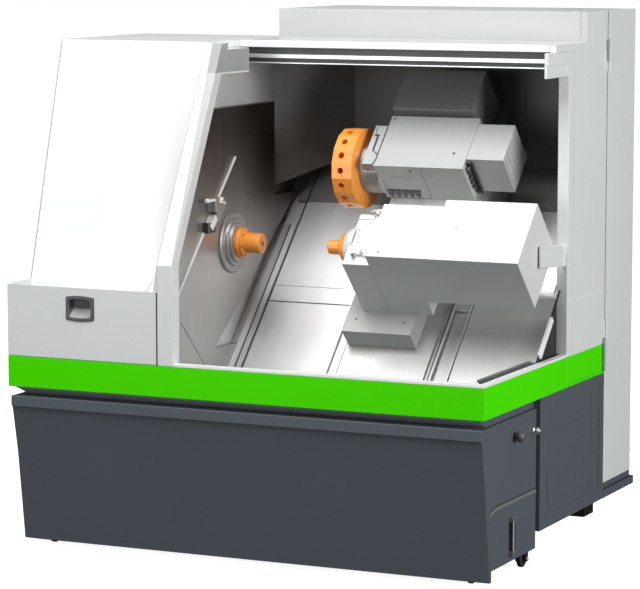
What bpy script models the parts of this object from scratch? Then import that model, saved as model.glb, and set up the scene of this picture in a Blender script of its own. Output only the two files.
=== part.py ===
# Turn-mill centre with a slant bed, two spindles and a sixteen-station turret.
# Metres, +Z up, the operator stands at -Y. The origin is on the floor, midway
# between the machine's sides and midway between its front and its rear rail.
# Depths are counted from the front plate backward, heights from the floor.

import math

import bmesh
import bpy
from mathutils import Matrix, Vector

# Clearances
GAP = 0.0003            # between pieces that touch
SLIDE = 0.0003          # between a slide and its way, a shaft and its seat
PAST = 0.050            # how far a cutter reaches past the face that it opens

# Widths
HOUSING_WIDTH = 0.693   # left housing, up to the work area's wall
ROOM_WIDTH = 1.407      # work area
SHEET = 0.030           # outer panels with their frames
POST = 0.068            # left pillar
RIGHT_POST = 0.047      # right pillar

# Heights
BAND_BOTTOM = 0.6735    # underside of the green band
BAND_HEIGHT = 0.1265
LEDGE_RISE = 0.2955     # top of the lower left front above the sill
AXIS_RISE = 0.442       # spindle line above the sill
HEADROOM = 0.835        # roof above the spindle line
CABINET_RISE = 0.121    # raised part of the rear cabinet above the roof
RAIL_BOTTOM = 0.133     # rail of the base behind the cabinet
RAIL_HEIGHT = 0.065

# Depths
ROOM_DEPTH = 1.3693     # front plate to the rear cabinet's side
CABINET_DEPTH = 0.3507
RAIL_REACH = 0.048      # how far the base's rail stands out behind the cabinet
AXIS_BACK = 0.7653      # spindle line in front of the cabinet's side
RAISED_DEPTH = 0.2533   # raised part of the cabinet over the work area
HOUSING_BACK = 0.1443   # left housing ends in front of the cabinet's side
PILLAR_BACK = 0.4633    # right pillar's front face before the cabinet's side
ROOF_OVER = 0.156       # roof's front edge before that pillar
TANK_DEPTH = 0.596

# Slant bed
BED_DROP = 0.331        # bed surface below the spindle line, square to it
BED_ANGLE = math.radians(45.0)

# Hinges of the cabinet's door
BARREL_RADIUS = 0.006
BARREL_OUT = 0.0065     # their axis outside the right side

# Worked out from the sizes above
WIDTH = HOUSING_WIDTH + ROOM_WIDTH
LEFT = -(WIDTH + BARREL_OUT + BARREL_RADIUS) / 2
RIGHT = LEFT + WIDTH
MIDDLE = (LEFT + RIGHT) / 2
WALL = LEFT + HOUSING_WIDTH
BAND_TOP = BAND_BOTTOM + BAND_HEIGHT
LEDGE = BAND_TOP + LEDGE_RISE
AXIS_HEIGHT = BAND_TOP + AXIS_RISE
ROOF_TOP = AXIS_HEIGHT + HEADROOM
CEILING = ROOF_TOP - SHEET
CABINET_TOP = ROOF_TOP + CABINET_RISE
RAIL_TOP = RAIL_BOTTOM + RAIL_HEIGHT
CABINET_REAR = ROOM_DEPTH + CABINET_DEPTH
DEPTH = CABINET_REAR + RAIL_REACH
FRONT = -DEPTH / 2
CABINET_FRONT = ROOM_DEPTH - RAISED_DEPTH
HOUSING_DEPTH = ROOM_DEPTH - HOUSING_BACK
PILLAR_FRONT = ROOM_DEPTH - PILLAR_BACK
ROOF_FRONT = PILLAR_FRONT - ROOF_OVER
UP = Vector((0.0, math.cos(BED_ANGLE), math.sin(BED_ANGLE)))
OUT = Vector((0.0, -math.sin(BED_ANGLE), math.cos(BED_ANGLE)))
AXIS = Vector((0.0, FRONT + ROOM_DEPTH - AXIS_BACK, AXIS_HEIGHT))

# Facets of round pieces
FEW = 12
SOME = 24
MANY = 40

# Colours as they show on the machine: linear red, green, blue
FINISHES = {
    "white": ((0.78, 0.79, 0.79), 0.45, 0.0),
    "grey": ((0.55, 0.56, 0.56), 0.45, 0.0),
    "steel": ((0.42, 0.42, 0.41), 0.35, 0.9),
    "dark": ((0.058, 0.066, 0.080), 0.5, 0.0),
    "black": ((0.012, 0.012, 0.013), 0.5, 0.0),
    "green": ((0.055, 0.63, 0.004), 0.4, 0.0),
    "orange": ((0.90, 0.26, 0.035), 0.4, 0.0),
}


def clear_scene():
    for item in list(bpy.data.objects):
        bpy.data.objects.remove(item)


def material(name, finish):
    colour, roughness, metallic = FINISHES[finish]
    made = bpy.data.materials.new(name)
    made.use_nodes = True
    shader = made.node_tree.nodes["Principled BSDF"]
    shader.inputs["Base Color"].default_value = (*colour, 1.0)
    shader.inputs["Roughness"].default_value = roughness
    shader.inputs["Metallic"].default_value = metallic
    return made


def solid_from(shape, name, finish, smooth=None):
    """Close a bmesh into one named, coloured piece with its faces pointing out."""
    bmesh.ops.remove_doubles(shape, verts=shape.verts, dist=1e-6)
    bmesh.ops.recalc_face_normals(shape, faces=shape.faces)
    mesh = bpy.data.meshes.new(name)
    shape.to_mesh(mesh)
    shape.free()
    mesh.materials.append(material(name + "_finish", finish))
    if smooth is not None:
        mesh.shade_smooth()
        mesh.set_sharp_from_angle(angle=math.radians(smooth))
    made = bpy.data.objects.new(name, mesh)
    bpy.context.scene.collection.objects.link(made)
    return made


def skin(shape, first, second):
    """Join two neighbouring rings, either of which may be one point."""
    count = max(len(first), len(second))
    for step in range(count):
        after = (step + 1) % count
        if len(first) == 1:
            shape.faces.new((first[0], second[step], second[after]))
        elif len(second) == 1:
            shape.faces.new((first[step], first[after], second[0]))
        else:
            shape.faces.new((first[step], first[after], second[after], second[step]))


def lofted(name, sections, finish, origin=None):
    """A solid through side outlines of equal count, given as (x, outline)."""
    shape = bmesh.new()
    rings = []
    for x, outline in sections:
        rings.append([shape.verts.new((x, FRONT + y, z)) for y, z in outline])
    for first, second in zip(rings, rings[1:]):
        skin(shape, first, second)
    if len(sections) > 2:
        bmesh.ops.triangulate(shape, faces=shape.faces)
    shape.faces.new(rings[0])
    shape.faces.new(rings[-1])
    return set_origin(solid_from(shape, name, finish), origin)


def across(name, x, outline, finish, origin=None):
    """A solid of one side outline, given as (depth, height), between two widths."""
    return lofted(name, [(x[0], outline), (x[1], outline)], finish, origin)


def on_bed(name, x, outline, finish):
    """A solid of one outline in the slope's own plane, given as (up, out)."""
    places = [AXIS + UP * up + OUT * out for up, out in outline]
    return across(name, x, [(place.y - FRONT, place.z) for place in places], finish)


def corners(first, second):
    """The four corners of a rectangle between two pairs of limits."""
    return [
        (first[0], second[0]), (first[1], second[0]), (first[1], second[1]), (first[0], second[1]),
    ]


def block(name, x, y, z, finish, origin=None):
    """A box between two widths, two depths and two heights."""
    return across(name, x, corners(y, z), finish, origin)


def bed_block(name, x, up, out, finish):
    """A box that lies square to the slope."""
    return on_bed(name, x, corners(up, out), finish)


def turned(name, profile, finish, place, axis="X", sides=MANY, smooth=30.0):
    """A turned solid: profile of (along, radius), closed on its axis."""
    shape = bmesh.new()
    rings = []
    for along, radius in profile:
        if radius <= 0.0:
            rings.append([shape.verts.new((along, 0.0, 0.0))])
            continue
        ring = []
        for step in range(sides):
            turn = math.tau * (step + 0.5) / sides
            spot = (along, radius * math.cos(turn), radius * math.sin(turn))
            ring.append(shape.verts.new(spot))
        rings.append(ring)
    for first, second in zip(rings, rings[1:]):
        skin(shape, first, second)
    made = solid_from(shape, name, finish, smooth)
    if axis == "Z":
        made.data.transform(Matrix.Rotation(math.radians(-90.0), 4, "Y"))
    made.location = place
    return made


def set_origin(made, origin):
    """Move the object's origin onto its joint without moving its shape."""
    if origin is not None:
        made.data.transform(Matrix.Translation(-Vector(origin)))
        made.location = origin
    return made


def boolean(made, other, operation):
    change = made.modifiers.new(operation.lower() + "_" + other.name, "BOOLEAN")
    change.object = other
    change.operation = operation
    change.solver = "EXACT"
    other.hide_render = True
    other.display_type = "WIRE"
    return made


def cut(made, other):
    return boolean(made, other, "DIFFERENCE")


def fuse(made, other):
    return boolean(made, other, "UNION")


# Coolant tank and its castors

TANK_SIDE = 0.012       # tank narrower than the machine at each side
TANK_DROP = 0.0385      # tank's top below the band
TANK_FLOOR = 0.066
FOLD_DROP = 0.238       # fold of the front below the tank's top
FOLD_BACK = 0.047
LIP = 0.044
LIP_STEP = 0.008
SKIRT = 0.022           # underside of the folded front
SKIRT_BACK = 0.098
SKIRT_THICK = 0.020
WHEEL_RADIUS = 0.035
WHEEL_WIDTH = 0.028
WHEEL_DEPTHS = {"front": 0.170, "rear": TANK_DEPTH - 0.066}
WHEEL_INSETS = {"front": 0.115, "rear": 0.046}
TREAD_ROUND = 0.003
TREAD_STEP = 0.004
WHEEL_HUB = 0.010
POCKET = 0.100
POCKET_RISE = 0.045     # pocket in the tank's floor above each wheel
FORK = 0.006
FORK_DEPTH = 0.030
FORK_BOTTOM = 0.021
FORK_ROOT = 0.010
TANK_TOP = BAND_BOTTOM - TANK_DROP
SIDES = {"left": -1, "right": 1}


def make_tank():
    back = SKIRT_BACK + SKIRT_THICK
    outline = [
        (SKIRT_BACK, SKIRT), (back, SKIRT), (back, TANK_FLOOR), (TANK_DEPTH, TANK_FLOOR),
        (TANK_DEPTH, TANK_TOP), (0.0, TANK_TOP), (0.0, TANK_TOP - LIP),
        (LIP_STEP, TANK_TOP - LIP), (FOLD_BACK, TANK_TOP - FOLD_DROP),
    ]
    tank = across("coolant_tank", (LEFT + TANK_SIDE, RIGHT - TANK_SIDE), outline, "dark")
    for side in SIDES.values():
        for depth_name, depth in WHEEL_DEPTHS.items():
            add_fork(tank, MIDDLE + side * (WIDTH / 2 - WHEEL_INSETS[depth_name]), depth)


def add_fork(tank, x, depth):
    """A pocket in the tank's floor, with a cheek at each side of the wheel."""
    half = WHEEL_WIDTH / 2 + SLIDE
    reach = (depth - POCKET / 2, depth + POCKET / 2)
    rise = (TANK_FLOOR - PAST, TANK_FLOOR + POCKET_RISE)
    cut(tank, block("wheel_pocket", (x - half, x + half), reach, rise, "dark"))
    y = (depth - FORK_DEPTH / 2, depth + FORK_DEPTH / 2)
    z = (FORK_BOTTOM, TANK_FLOOR + FORK_ROOT)
    for near in (x - half - FORK, x + half):
        fuse(tank, block("fork_cheek", (near, near + FORK), y, z, "dark"))


def make_castors():
    half = WHEEL_WIDTH / 2
    disc = half - TREAD_STEP
    tread = half - TREAD_STEP - TREAD_ROUND
    profile = [
        (-half, 0.0), (-half, WHEEL_HUB), (-disc, WHEEL_HUB), (-disc, WHEEL_RADIUS - TREAD_ROUND),
        (-tread, WHEEL_RADIUS), (tread, WHEEL_RADIUS), (disc, WHEEL_RADIUS - TREAD_ROUND),
        (disc, WHEEL_HUB), (half, WHEEL_HUB), (half, 0.0),
    ]
    for side_name, side in SIDES.items():
        for depth_name, depth in WHEEL_DEPTHS.items():
            name = "castor_wheel_" + depth_name + "_" + side_name
            x = MIDDLE + side * (WIDTH / 2 - WHEEL_INSETS[depth_name])
            turned(name, profile, "black", (x, FRONT + depth, WHEEL_RADIUS), sides=SOME)


# Base with its neck above the tank, its feet and its side panels

NECK_FRONT = 0.004
NECK_BACK = 0.0945
TANK_BACK = 0.004       # between the tank and the base behind it
FOOT_INSET = 0.219
FOOT_DEPTHS = {"front": TANK_DEPTH + 0.064, "rear": DEPTH - 0.128}
PAD_SIDE = 0.120
PAD_HEIGHT = 0.046
SCREW_RADIUS = 0.024
SCREW_FOOT = 0.030       # screw sunk in the pad
NUT_BOTTOM = 0.100
NUT_RADIUS = 0.045
RAIL_SET_BACK = 0.019   # web of the rear rail from the machine's sides
RAIL_FLANGE = 0.034
PANEL_FRONT = TANK_DEPTH + 0.014
PANEL_BORDER = 0.055
PANEL_HEAD = 0.150      # plain strip above the sunk field
EMBOSS = 0.006


def make_base():
    back = TANK_DEPTH + TANK_BACK
    outline = [
        (back, RAIL_BOTTOM), (DEPTH, RAIL_BOTTOM), (DEPTH, RAIL_TOP - GAP),
        (ROOM_DEPTH - GAP, RAIL_TOP - GAP), (ROOM_DEPTH - GAP, BAND_BOTTOM - GAP),
        (NECK_FRONT, BAND_BOTTOM - GAP), (NECK_BACK, TANK_TOP + GAP), (back, TANK_TOP + GAP),
    ]
    inset = SHEET + GAP
    base = across("machine_base", (LEFT + inset, RIGHT - inset), outline, "dark")
    y = (ROOM_DEPTH + GAP, DEPTH)
    web = (LEFT + RAIL_SET_BACK, RIGHT - RAIL_SET_BACK)
    fuse(base, block("rail_web", web, y, (RAIL_BOTTOM, RAIL_TOP - GAP), "dark"))
    flange = (RAIL_BOTTOM, RAIL_BOTTOM + RAIL_FLANGE)
    fuse(base, block("rail_flange", (LEFT, RIGHT), y, flange, "dark"))


def make_feet():
    top = RAIL_BOTTOM - GAP
    profile = [
        (SCREW_FOOT, 0.0), (SCREW_FOOT, SCREW_RADIUS), (NUT_BOTTOM, SCREW_RADIUS),
        (NUT_BOTTOM, NUT_RADIUS), (top, NUT_RADIUS), (top, 0.0),
    ]
    for side_name, side in SIDES.items():
        for depth_name, depth in FOOT_DEPTHS.items():
            name = "levelling_foot_" + depth_name + "_" + side_name
            x = MIDDLE + side * (WIDTH / 2 - FOOT_INSET)
            reach = PAD_SIDE / 2
            y = (depth - reach, depth + reach)
            pad = block(name, (x - reach, x + reach), y, (0.0, PAD_HEIGHT), "dark")
            screw = turned("foot_screw", profile, "dark", (x, FRONT + depth, 0.0), axis="Z", sides=SOME)
            fuse(pad, screw)


def make_base_panels():
    y = (PANEL_FRONT, ROOM_DEPTH - GAP)
    field_y = (y[0] + PANEL_BORDER, y[1] - PANEL_BORDER)
    field_z = (RAIL_BOTTOM + PANEL_BORDER, BAND_BOTTOM - PANEL_HEAD)
    for side_name, side in SIDES.items():
        name = side_name + "_base_panel"
        far = MIDDLE + side * WIDTH / 2
        x = sorted((far, far - side * SHEET))
        panel = block(name, x, y, (RAIL_BOTTOM, BAND_BOTTOM - GAP), "dark")
        cut(panel, block("sunk_field", (far - EMBOSS, far + EMBOSS), field_y, field_z, "dark"))


# Green band

BAND_WALL = 0.034


def make_bands():
    z = (BAND_BOTTOM, BAND_TOP)
    block("front_band", (LEFT, RIGHT), (0.0, BAND_WALL), z, "green")
    y = (BAND_WALL + GAP, ROOM_DEPTH - GAP)
    block("right_band", (RIGHT - SHEET, RIGHT), y, z, "green")
    block("left_band", (LEFT, LEFT + SHEET), y, z, "green")


# Left housing with its hood, and the pillar that the hood runs out to

HOOD_FOOT = 0.190       # depth where the hood rises from the ledge
HOOD_HEAD = 0.4725      # depth where it meets the roof
FLARE_START = 0.525     # from the machine's left side
FLARE_STEPS = 8
KNEE_RISE = 0.1095      # pillar begins to lean back, above the ledge
PILLAR_THICK = 0.062
PILLAR_SET = 0.022      # pillar's head in front of the hood's
PILLAR_DROP = 0.004     # pillar's head below the roof
BRACKET_DROP = 0.132    # rail brackets reach this far below the roof
BRACKET_REACH = 0.042
KNEE = LEDGE + KNEE_RISE
PILLAR_HEAD = HOOD_HEAD - PILLAR_SET
PILLAR_TOP = ROOF_TOP - PILLAR_DROP
LEAN = PILLAR_HEAD / (PILLAR_TOP - KNEE)


def pillar_back_at(height):
    """Depth of the left pillar's rear face at a height above its knee."""
    return PILLAR_THICK + LEAN * (height - KNEE)


def make_left_housing():
    """The hood leans back, and flares out to meet the pillar beside the work area."""
    sections = [(LEFT, hood_outline(0.0))]
    for step in range(FLARE_STEPS + 1):
        along = step / FLARE_STEPS
        x = LEFT + FLARE_START + along * (HOUSING_WIDTH - FLARE_START)
        sections.append((x, hood_outline(along * along)))
    housing = lofted("left_housing", sections, "white")
    y = (0.0, DRAWER_DEPTH + DRAWER_STOP)
    z = (BAND_TOP + DRAWER_EDGE, LEDGE - DRAWER_EDGE)
    cut(housing, block("drawer_pocket", DRAWER_POCKET, y, z, "white"))
    y = (HOUSING_DEPTH - SHEET, ROOM_DEPTH - GAP)
    rear = block("rear_wall", (WALL - SHEET, WALL), y, (BAND_TOP + GAP, CEILING - GAP), "white")
    fuse(housing, rear)


def hood_outline(flare):
    """Side outline of the housing, from the plain hood (0) to the pillar's line (1)."""
    knee_depth = HOOD_FOOT * (1.0 - flare)
    knee_height = LEDGE + KNEE_RISE * flare
    head = HOOD_HEAD - PILLAR_SET * flare
    plate = DRAWER_FRONT + GAP
    lip = plate * (1.0 - flare)
    return [
        (plate, BAND_TOP + GAP), (HOUSING_DEPTH, BAND_TOP + GAP), (HOUSING_DEPTH, ROOF_TOP),
        (head, ROOF_TOP), (knee_depth, knee_height), (lip, LEDGE + GAP), (plate, LEDGE + GAP),
    ]


def make_left_pillar():
    """An upright that leans back from its knee and carries the rail's bracket."""
    low = ROOF_TOP - BRACKET_DROP
    ceiling = CEILING - GAP
    end = ROOF_FRONT + BRACKET_REACH
    outline = [
        (0.0, BAND_TOP + GAP), (PILLAR_THICK, BAND_TOP + GAP), (PILLAR_THICK, KNEE),
        (pillar_back_at(low), low), (end, low), (end, ceiling), (pillar_back_at(ceiling), ceiling),
        (pillar_back_at(PILLAR_TOP), PILLAR_TOP), (PILLAR_HEAD, PILLAR_TOP), (0.0, KNEE),
    ]
    across("left_pillar", (WALL + GAP, WALL + GAP + POST), outline, "grey")


# Parts drawer with its recessed pull

DRAWER_LEFT = 0.020
DRAWER_RIGHT = 0.033
DRAWER_EDGE = 0.018     # above the sill and below the ledge
DRAWER_DEPTH = 0.480
DRAWER_STOP = 0.020
DRAWER_GAP = 0.006
DRAWER_SHEET = 0.012
DRAWER_FRONT = 0.022    # plate over the whole lower front
DRAWER_LIFT = 0.001
DRAWER_POCKET = (LEFT + DRAWER_LEFT, WALL - DRAWER_RIGHT)
PULL_WIDTH = 0.129
PULL_HEIGHT = 0.094
PULL_DROP = 0.0845      # its middle below the ledge
PULL_DEPTH = 0.030
PULL_RIM = 0.012
PULL_BACK = 0.005
PULL_CHIN = 0.030
PULL_BROW = 0.022
PULL_HOOK = 0.006


def make_drawer():
    x = (DRAWER_POCKET[0] + DRAWER_GAP, DRAWER_POCKET[1] - DRAWER_GAP)
    z = (BAND_TOP + DRAWER_EDGE + SLIDE, LEDGE - DRAWER_EDGE - DRAWER_GAP)
    middle = (x[0] + x[1]) / 2
    origin = (middle, FRONT, z[0])
    drawer = block("parts_drawer", x, (0.0, DRAWER_DEPTH), z, "white", origin)
    plate_z = (BAND_TOP + GAP + DRAWER_LIFT, LEDGE)
    fuse(drawer, block("front_plate", (LEFT, WALL), (0.0, DRAWER_FRONT), plate_z, "white"))
    inner_x = (x[0] + DRAWER_SHEET, x[1] - DRAWER_SHEET)
    inner_y = (DRAWER_FRONT, DRAWER_DEPTH - DRAWER_SHEET)
    cut(drawer, block("drawer_hollow", inner_x, inner_y, (z[0] + DRAWER_SHEET, z[1] + PAST), "white"))
    pull_x = (middle - PULL_WIDTH / 2, middle + PULL_WIDTH / 2)
    height = LEDGE - PULL_DROP
    pull_z = (height - PULL_HEIGHT / 2, height + PULL_HEIGHT / 2)
    hole_x = (pull_x[0] - GAP, pull_x[1] + GAP)
    hole_z = (pull_z[0] - GAP, pull_z[1] + GAP)
    cut(drawer, block("pull_hole", hole_x, (-PAST, PAST), hole_z, "white"))
    make_pull(pull_x, pull_z)


def make_pull(x, z):
    """A cup whose brow turns down, so that fingers hook behind it."""
    pull = block("drawer_handle", x, (0.0, PULL_DEPTH), z, "black")
    back = PULL_DEPTH - PULL_BACK
    brow = z[1] - PULL_BROW
    outline = [
        (-PAST, z[0] + PULL_RIM), (PULL_RIM, z[0] + PULL_RIM), (back, z[0] + PULL_CHIN),
        (back, z[1] - PULL_HOOK), (PULL_RIM, z[1] - PULL_HOOK), (PULL_RIM, brow), (-PAST, brow),
    ]
    cut(pull, across("pull_scoop", (x[0] + PULL_RIM, x[1] - PULL_RIM), outline, "black"))


# Right pillar, right side sheet with the door's hinges, roof

PILLAR_DEPTH = 0.060
BRACKET_WIDTH = 0.017
BRACKET_SKIN = 0.006    # its outer sheet
BRACKET_NOTCH = 0.081   # that sheet's lower edge below the roof
BRACKET_OUT = 0.090     # in front of the roof's edge
BRACKET_ROOT = 0.030
CATCH_WIDTH = 0.011      # thickness of the door catch's plate
CATCH_SET = 0.010
CATCH_REACH = 0.276     # in front of the right pillar
CATCH_TOP = 0.483       # above the sill
CATCH_DROP = 0.022      # of its top towards the pillar
CATCH_HEIGHT = 0.088
BARREL_LENGTH = 0.086
HINGE_LOW = 0.060       # lower hinge above the sill
HINGE_HIGH = 0.087      # upper hinge below the roof
LEAF_WIDTH = 0.028
LEAF_SET = 0.002
LEAF_OUT = 0.0035
LEAF_SHORT = 0.001


def make_right_pillar():
    z = (BAND_TOP + GAP, CEILING - GAP)
    y = (PILLAR_FRONT, PILLAR_FRONT + PILLAR_DEPTH)
    pillar = block("right_pillar", (RIGHT - RIGHT_POST, RIGHT), y, z, "grey")
    y = (ROOF_FRONT - BRACKET_OUT, PILLAR_FRONT + BRACKET_ROOT)
    x = (RIGHT - BRACKET_WIDTH, RIGHT - BRACKET_SKIN)
    z = (ROOF_TOP - BRACKET_DROP, CEILING - GAP)
    fuse(pillar, block("right_bracket", x, y, z, "grey"))
    x = (RIGHT - BRACKET_WIDTH, RIGHT)
    z = (ROOF_TOP - BRACKET_NOTCH, CEILING - GAP)
    fuse(pillar, block("bracket_skin", x, y, z, "grey"))
    x = (RIGHT - CATCH_SET - CATCH_WIDTH, RIGHT - CATCH_SET)
    nose = PILLAR_FRONT - CATCH_REACH
    root = PILLAR_FRONT + CATCH_SET
    top = BAND_TOP + CATCH_TOP
    outline = [
        (nose, top), (nose, top - CATCH_HEIGHT),
        (root, top - CATCH_HEIGHT - CATCH_DROP), (root, top - CATCH_DROP),
    ]
    fuse(pillar, across("door_catch", x, outline, "grey"))


def make_side_sheet():
    """One sheet from the pillar to the cabinet's door, stepped up along the roof."""
    front = PILLAR_FRONT + PILLAR_DEPTH + GAP
    end = ROOM_DEPTH - GAP
    outline = [
        (front, BAND_TOP + GAP), (end, BAND_TOP + GAP), (end, CABINET_TOP),
        (CABINET_FRONT, CABINET_TOP), (CABINET_FRONT, ROOF_TOP), (ROOF_FRONT, ROOF_TOP),
        (ROOF_FRONT, CEILING), (front, CEILING),
    ]
    sheet = across("right_side_panel", (RIGHT - SHEET, RIGHT), outline, "white")
    half = BARREL_LENGTH / 2
    barrel = [(-half, 0.0), (-half, BARREL_RADIUS), (half, BARREL_RADIUS), (half, 0.0)]
    for height in (BAND_TOP + HINGE_LOW, ROOF_TOP - HINGE_HIGH):
        x = (RIGHT - LEAF_SET, RIGHT + LEAF_OUT)
        y = (ROOM_DEPTH - LEAF_SET - LEAF_WIDTH, ROOM_DEPTH - LEAF_SET)
        z = (height - half + LEAF_SHORT, height + half - LEAF_SHORT)
        fuse(sheet, block("hinge_leaf", x, y, z, "steel"))
        place = (RIGHT + BARREL_OUT, FRONT + ROOM_DEPTH, height)
        fuse(sheet, turned("hinge_barrel", barrel, "steel", place, axis="Z", sides=FEW))


def make_roof():
    x = (WALL + GAP, RIGHT - SHEET - GAP)
    block("roof_panel", x, (ROOF_FRONT, CABINET_FRONT - GAP), (CEILING, ROOF_TOP), "white")


# Rail above the opening and track in its sill

RAIL_SET = 0.002        # behind the roof's front edge
RAIL_DEPTH = 0.040
RAIL_DROP = 0.066
GROOVE_DEPTH = 0.014
GROOVE_HEIGHT = 0.012
GROOVE_TOPS = (0.022, 0.046)    # two grooves, below the rail's top
RIB_OUT = 0.002
SILL_CAP = 0.012
TRACK_NEAR = 0.020      # from the machine's right side
TRACK_WIDTH = 0.010
TRACK_END = 0.030
TRACK_FLOOR = 0.004


def make_door_rail():
    top = CEILING - GAP
    x = (WALL + GAP + POST + GAP, RIGHT - BRACKET_WIDTH - GAP)
    face = ROOF_FRONT + RAIL_SET
    outline = [(face, top)]
    steps = (face, face - RIB_OUT, face)
    for index, drop in enumerate(GROOVE_TOPS):
        outline += [
            (steps[index], top - drop), (face + GROOVE_DEPTH, top - drop),
            (face + GROOVE_DEPTH, top - drop - GROOVE_HEIGHT),
            (steps[index + 1], top - drop - GROOVE_HEIGHT),
        ]
    bottom = top - RAIL_DROP
    outline += [(face, bottom), (face + RAIL_DEPTH, bottom), (face + RAIL_DEPTH, top)]
    across("door_rail", x, outline, "steel")


def make_sill():
    z = (BAND_TOP + GAP, BAND_TOP + SILL_CAP)
    x = (WALL + GAP + POST + GAP, RIGHT)
    sill = block("sill_track", x, (0.0, BAND_WALL), z, "white")
    y = (0.0, PILLAR_FRONT - GAP)
    fuse(sill, block("sill_side", (RIGHT - SHEET, RIGHT), y, z, "white"))
    x = (RIGHT - TRACK_NEAR, RIGHT - TRACK_NEAR + TRACK_WIDTH)
    y = (TRACK_END, PILLAR_FRONT - TRACK_END)
    cut(sill, block("door_track", x, y, (z[0] + TRACK_FLOOR, z[1] + PAST), "white"))


# Rear cabinet and its door

CABINET_SET = 0.007     # cabinet's left side behind the work area's wall
CABINET_WALL = 0.030
CABINET_FLOOR = 0.040
CABINET_ROOF = 0.050
CABINET_ROOM = 0.450    # width of the space behind the door
DOOR_GAP = 0.002


def make_cabinet():
    outline = [
        (ROOM_DEPTH, RAIL_TOP), (CABINET_REAR, RAIL_TOP), (CABINET_REAR, CABINET_TOP),
        (CABINET_FRONT, CABINET_TOP), (CABINET_FRONT, CEILING), (ROOM_DEPTH, CEILING),
    ]
    x = (WALL + CABINET_SET, RIGHT - SHEET - GAP)
    cabinet = across("rear_cabinet", x, outline, "white")
    y = (ROOM_DEPTH + CABINET_WALL, CABINET_REAR - CABINET_WALL)
    z = (RAIL_TOP + CABINET_FLOOR, CABINET_TOP - CABINET_ROOF)
    cut(cabinet, block("cabinet_space", (RIGHT - CABINET_ROOM, RIGHT), y, z, "white"))


def make_cabinet_door():
    y = (ROOM_DEPTH + DOOR_GAP, CABINET_REAR)
    z = (RAIL_TOP + DOOR_GAP, CABINET_TOP)
    origin = (RIGHT + BARREL_OUT, FRONT + ROOM_DEPTH, (RAIL_TOP + CABINET_TOP) / 2)
    block("cabinet_door", (RIGHT - SHEET, RIGHT), y, z, "white", origin)


# Slant bed with its covers and its upper way

COVER = 0.012
COVER_HEAD = 0.505      # upper edge of the covers, up the slope
COVER_FOOT = 0.012      # their lower edge above the band's underside
LEFT_COVER = (0.097, 0.390)     # distance from the wall, width
RIGHT_COVER = (0.055, 0.330)    # distance from the right side, width
APRON_RIGHT = 0.036     # its lower part reaches nearer to the right side
APRON_SINK = 0.010
APRON_CLEAR = 0.012     # in front of the right pillar
LEFT_JOINT = 0.020
RIGHT_JOINT = 0.105
WAY_HEAD = 0.720
WAY_LEFT = 0.057
WAY_RIGHT = 0.060


def bed_up_at(height):
    """How far up the slope the bed surface reaches a height."""
    return (height - AXIS.z + BED_DROP * OUT.z) / UP.z


def make_bed():
    """A wedge under the covers, from the band's underside to the cabinet."""
    foot = AXIS + UP * bed_up_at(BAND_BOTTOM) - OUT * (BED_DROP + COVER + GAP)
    start = foot.y - FRONT + BAND_BOTTOM - foot.z
    end = ROOM_DEPTH - GAP
    outline = [(start, BAND_BOTTOM), (end, BAND_BOTTOM), (end, BAND_BOTTOM + end - start)]
    across("slant_bed", (WALL + GAP, RIGHT - RIGHT_POST - GAP), outline, "grey")


def make_bed_covers():
    up = (bed_up_at(BAND_BOTTOM + COVER_FOOT), COVER_HEAD)
    out = (-BED_DROP - COVER, -BED_DROP)
    left = (WALL + LEFT_COVER[0], WALL + sum(LEFT_COVER))
    right = (RIGHT - sum(RIGHT_COVER), RIGHT - RIGHT_COVER[0])
    bed_block("bed_cover_left", left, up, out, "steel")
    cover = bed_block("bed_cover_right", right, up, out, "steel")
    reach = (PILLAR_FRONT - APRON_CLEAR - (AXIS.y - FRONT) + out[0] * UP.z) / UP.y
    apron_x = (right[1] - APRON_SINK, RIGHT - APRON_RIGHT)
    fuse(cover, bed_block("cover_apron", apron_x, (up[0], reach), out, "steel"))
    bed_block("bed_cover_middle", (left[1] + LEFT_JOINT, right[0] - RIGHT_JOINT), up, out, "steel")
    bed_block("z1_way", (WALL + WAY_LEFT, RIGHT - WAY_RIGHT), (COVER_HEAD + GAP, WAY_HEAD), out, "dark")


# Raised wall plate, main spindle and probe rail

PLATE_RISE = 0.036
PLATE_CLEAR = 0.023     # behind the pillar
PLATE_FOOT = 0.184      # plate's lower end in front of the spindle line
PLATE_REAR_RISE = 0.163
PLATE_SHOULDER = 0.215  # step in front of the housing's rear
PLATE_DROP = 0.272      # plate's top below the roof
PLATE_FACE = WALL + PLATE_RISE
RING_RADIUS = 0.129
RING_BEVEL = 0.006
RING_PLATE = 0.012
COLLAR_RADIUS = 0.101
COLLAR_END = 0.022
SEAT_RADIUS = 0.084
SEAT_END = 0.034
SEAT_BEVEL = 0.004
FLANGE_RADIUS = 0.062
FLANGE_EDGE = 0.014
FLANGE_END = 0.032
FLANGE_STEP = 0.004
NOSE_RADIUS = 0.042
NOSE_END = 0.105
NOSE_BEVEL = 0.003
BORE_RADIUS = 0.010
BORE_DEPTH = 0.020
PROBE_HEAD = 0.265
PROBE_OUT = (0.232, 0.240)
PROBE_CLEAR = 0.026     # its lower end behind the left pillar
PROBE_THICK = 0.008
HOLDER_UP = (-0.060, 0.040)
HOLDER_OUT = (0.205, 0.245)
HOLDER_THICK = 0.032


def make_wall_plate():
    front = PILLAR_THICK + PLATE_CLEAR
    top = ROOF_TOP - PLATE_DROP
    rear = AXIS_HEIGHT + PLATE_REAR_RISE
    foot = ROOM_DEPTH - AXIS_BACK - PLATE_FOOT
    shoulder = HOUSING_DEPTH - PLATE_SHOULDER
    outline = [
        (front, BAND_TOP + GAP), (foot, BAND_TOP + GAP), (HOUSING_DEPTH, rear), (shoulder, rear),
        (shoulder, top), (pillar_back_at(top) + PLATE_CLEAR, top), (front, KNEE),
    ]
    across("spindle_wall_plate", (WALL + GAP, PLATE_FACE), outline, "steel")


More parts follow.
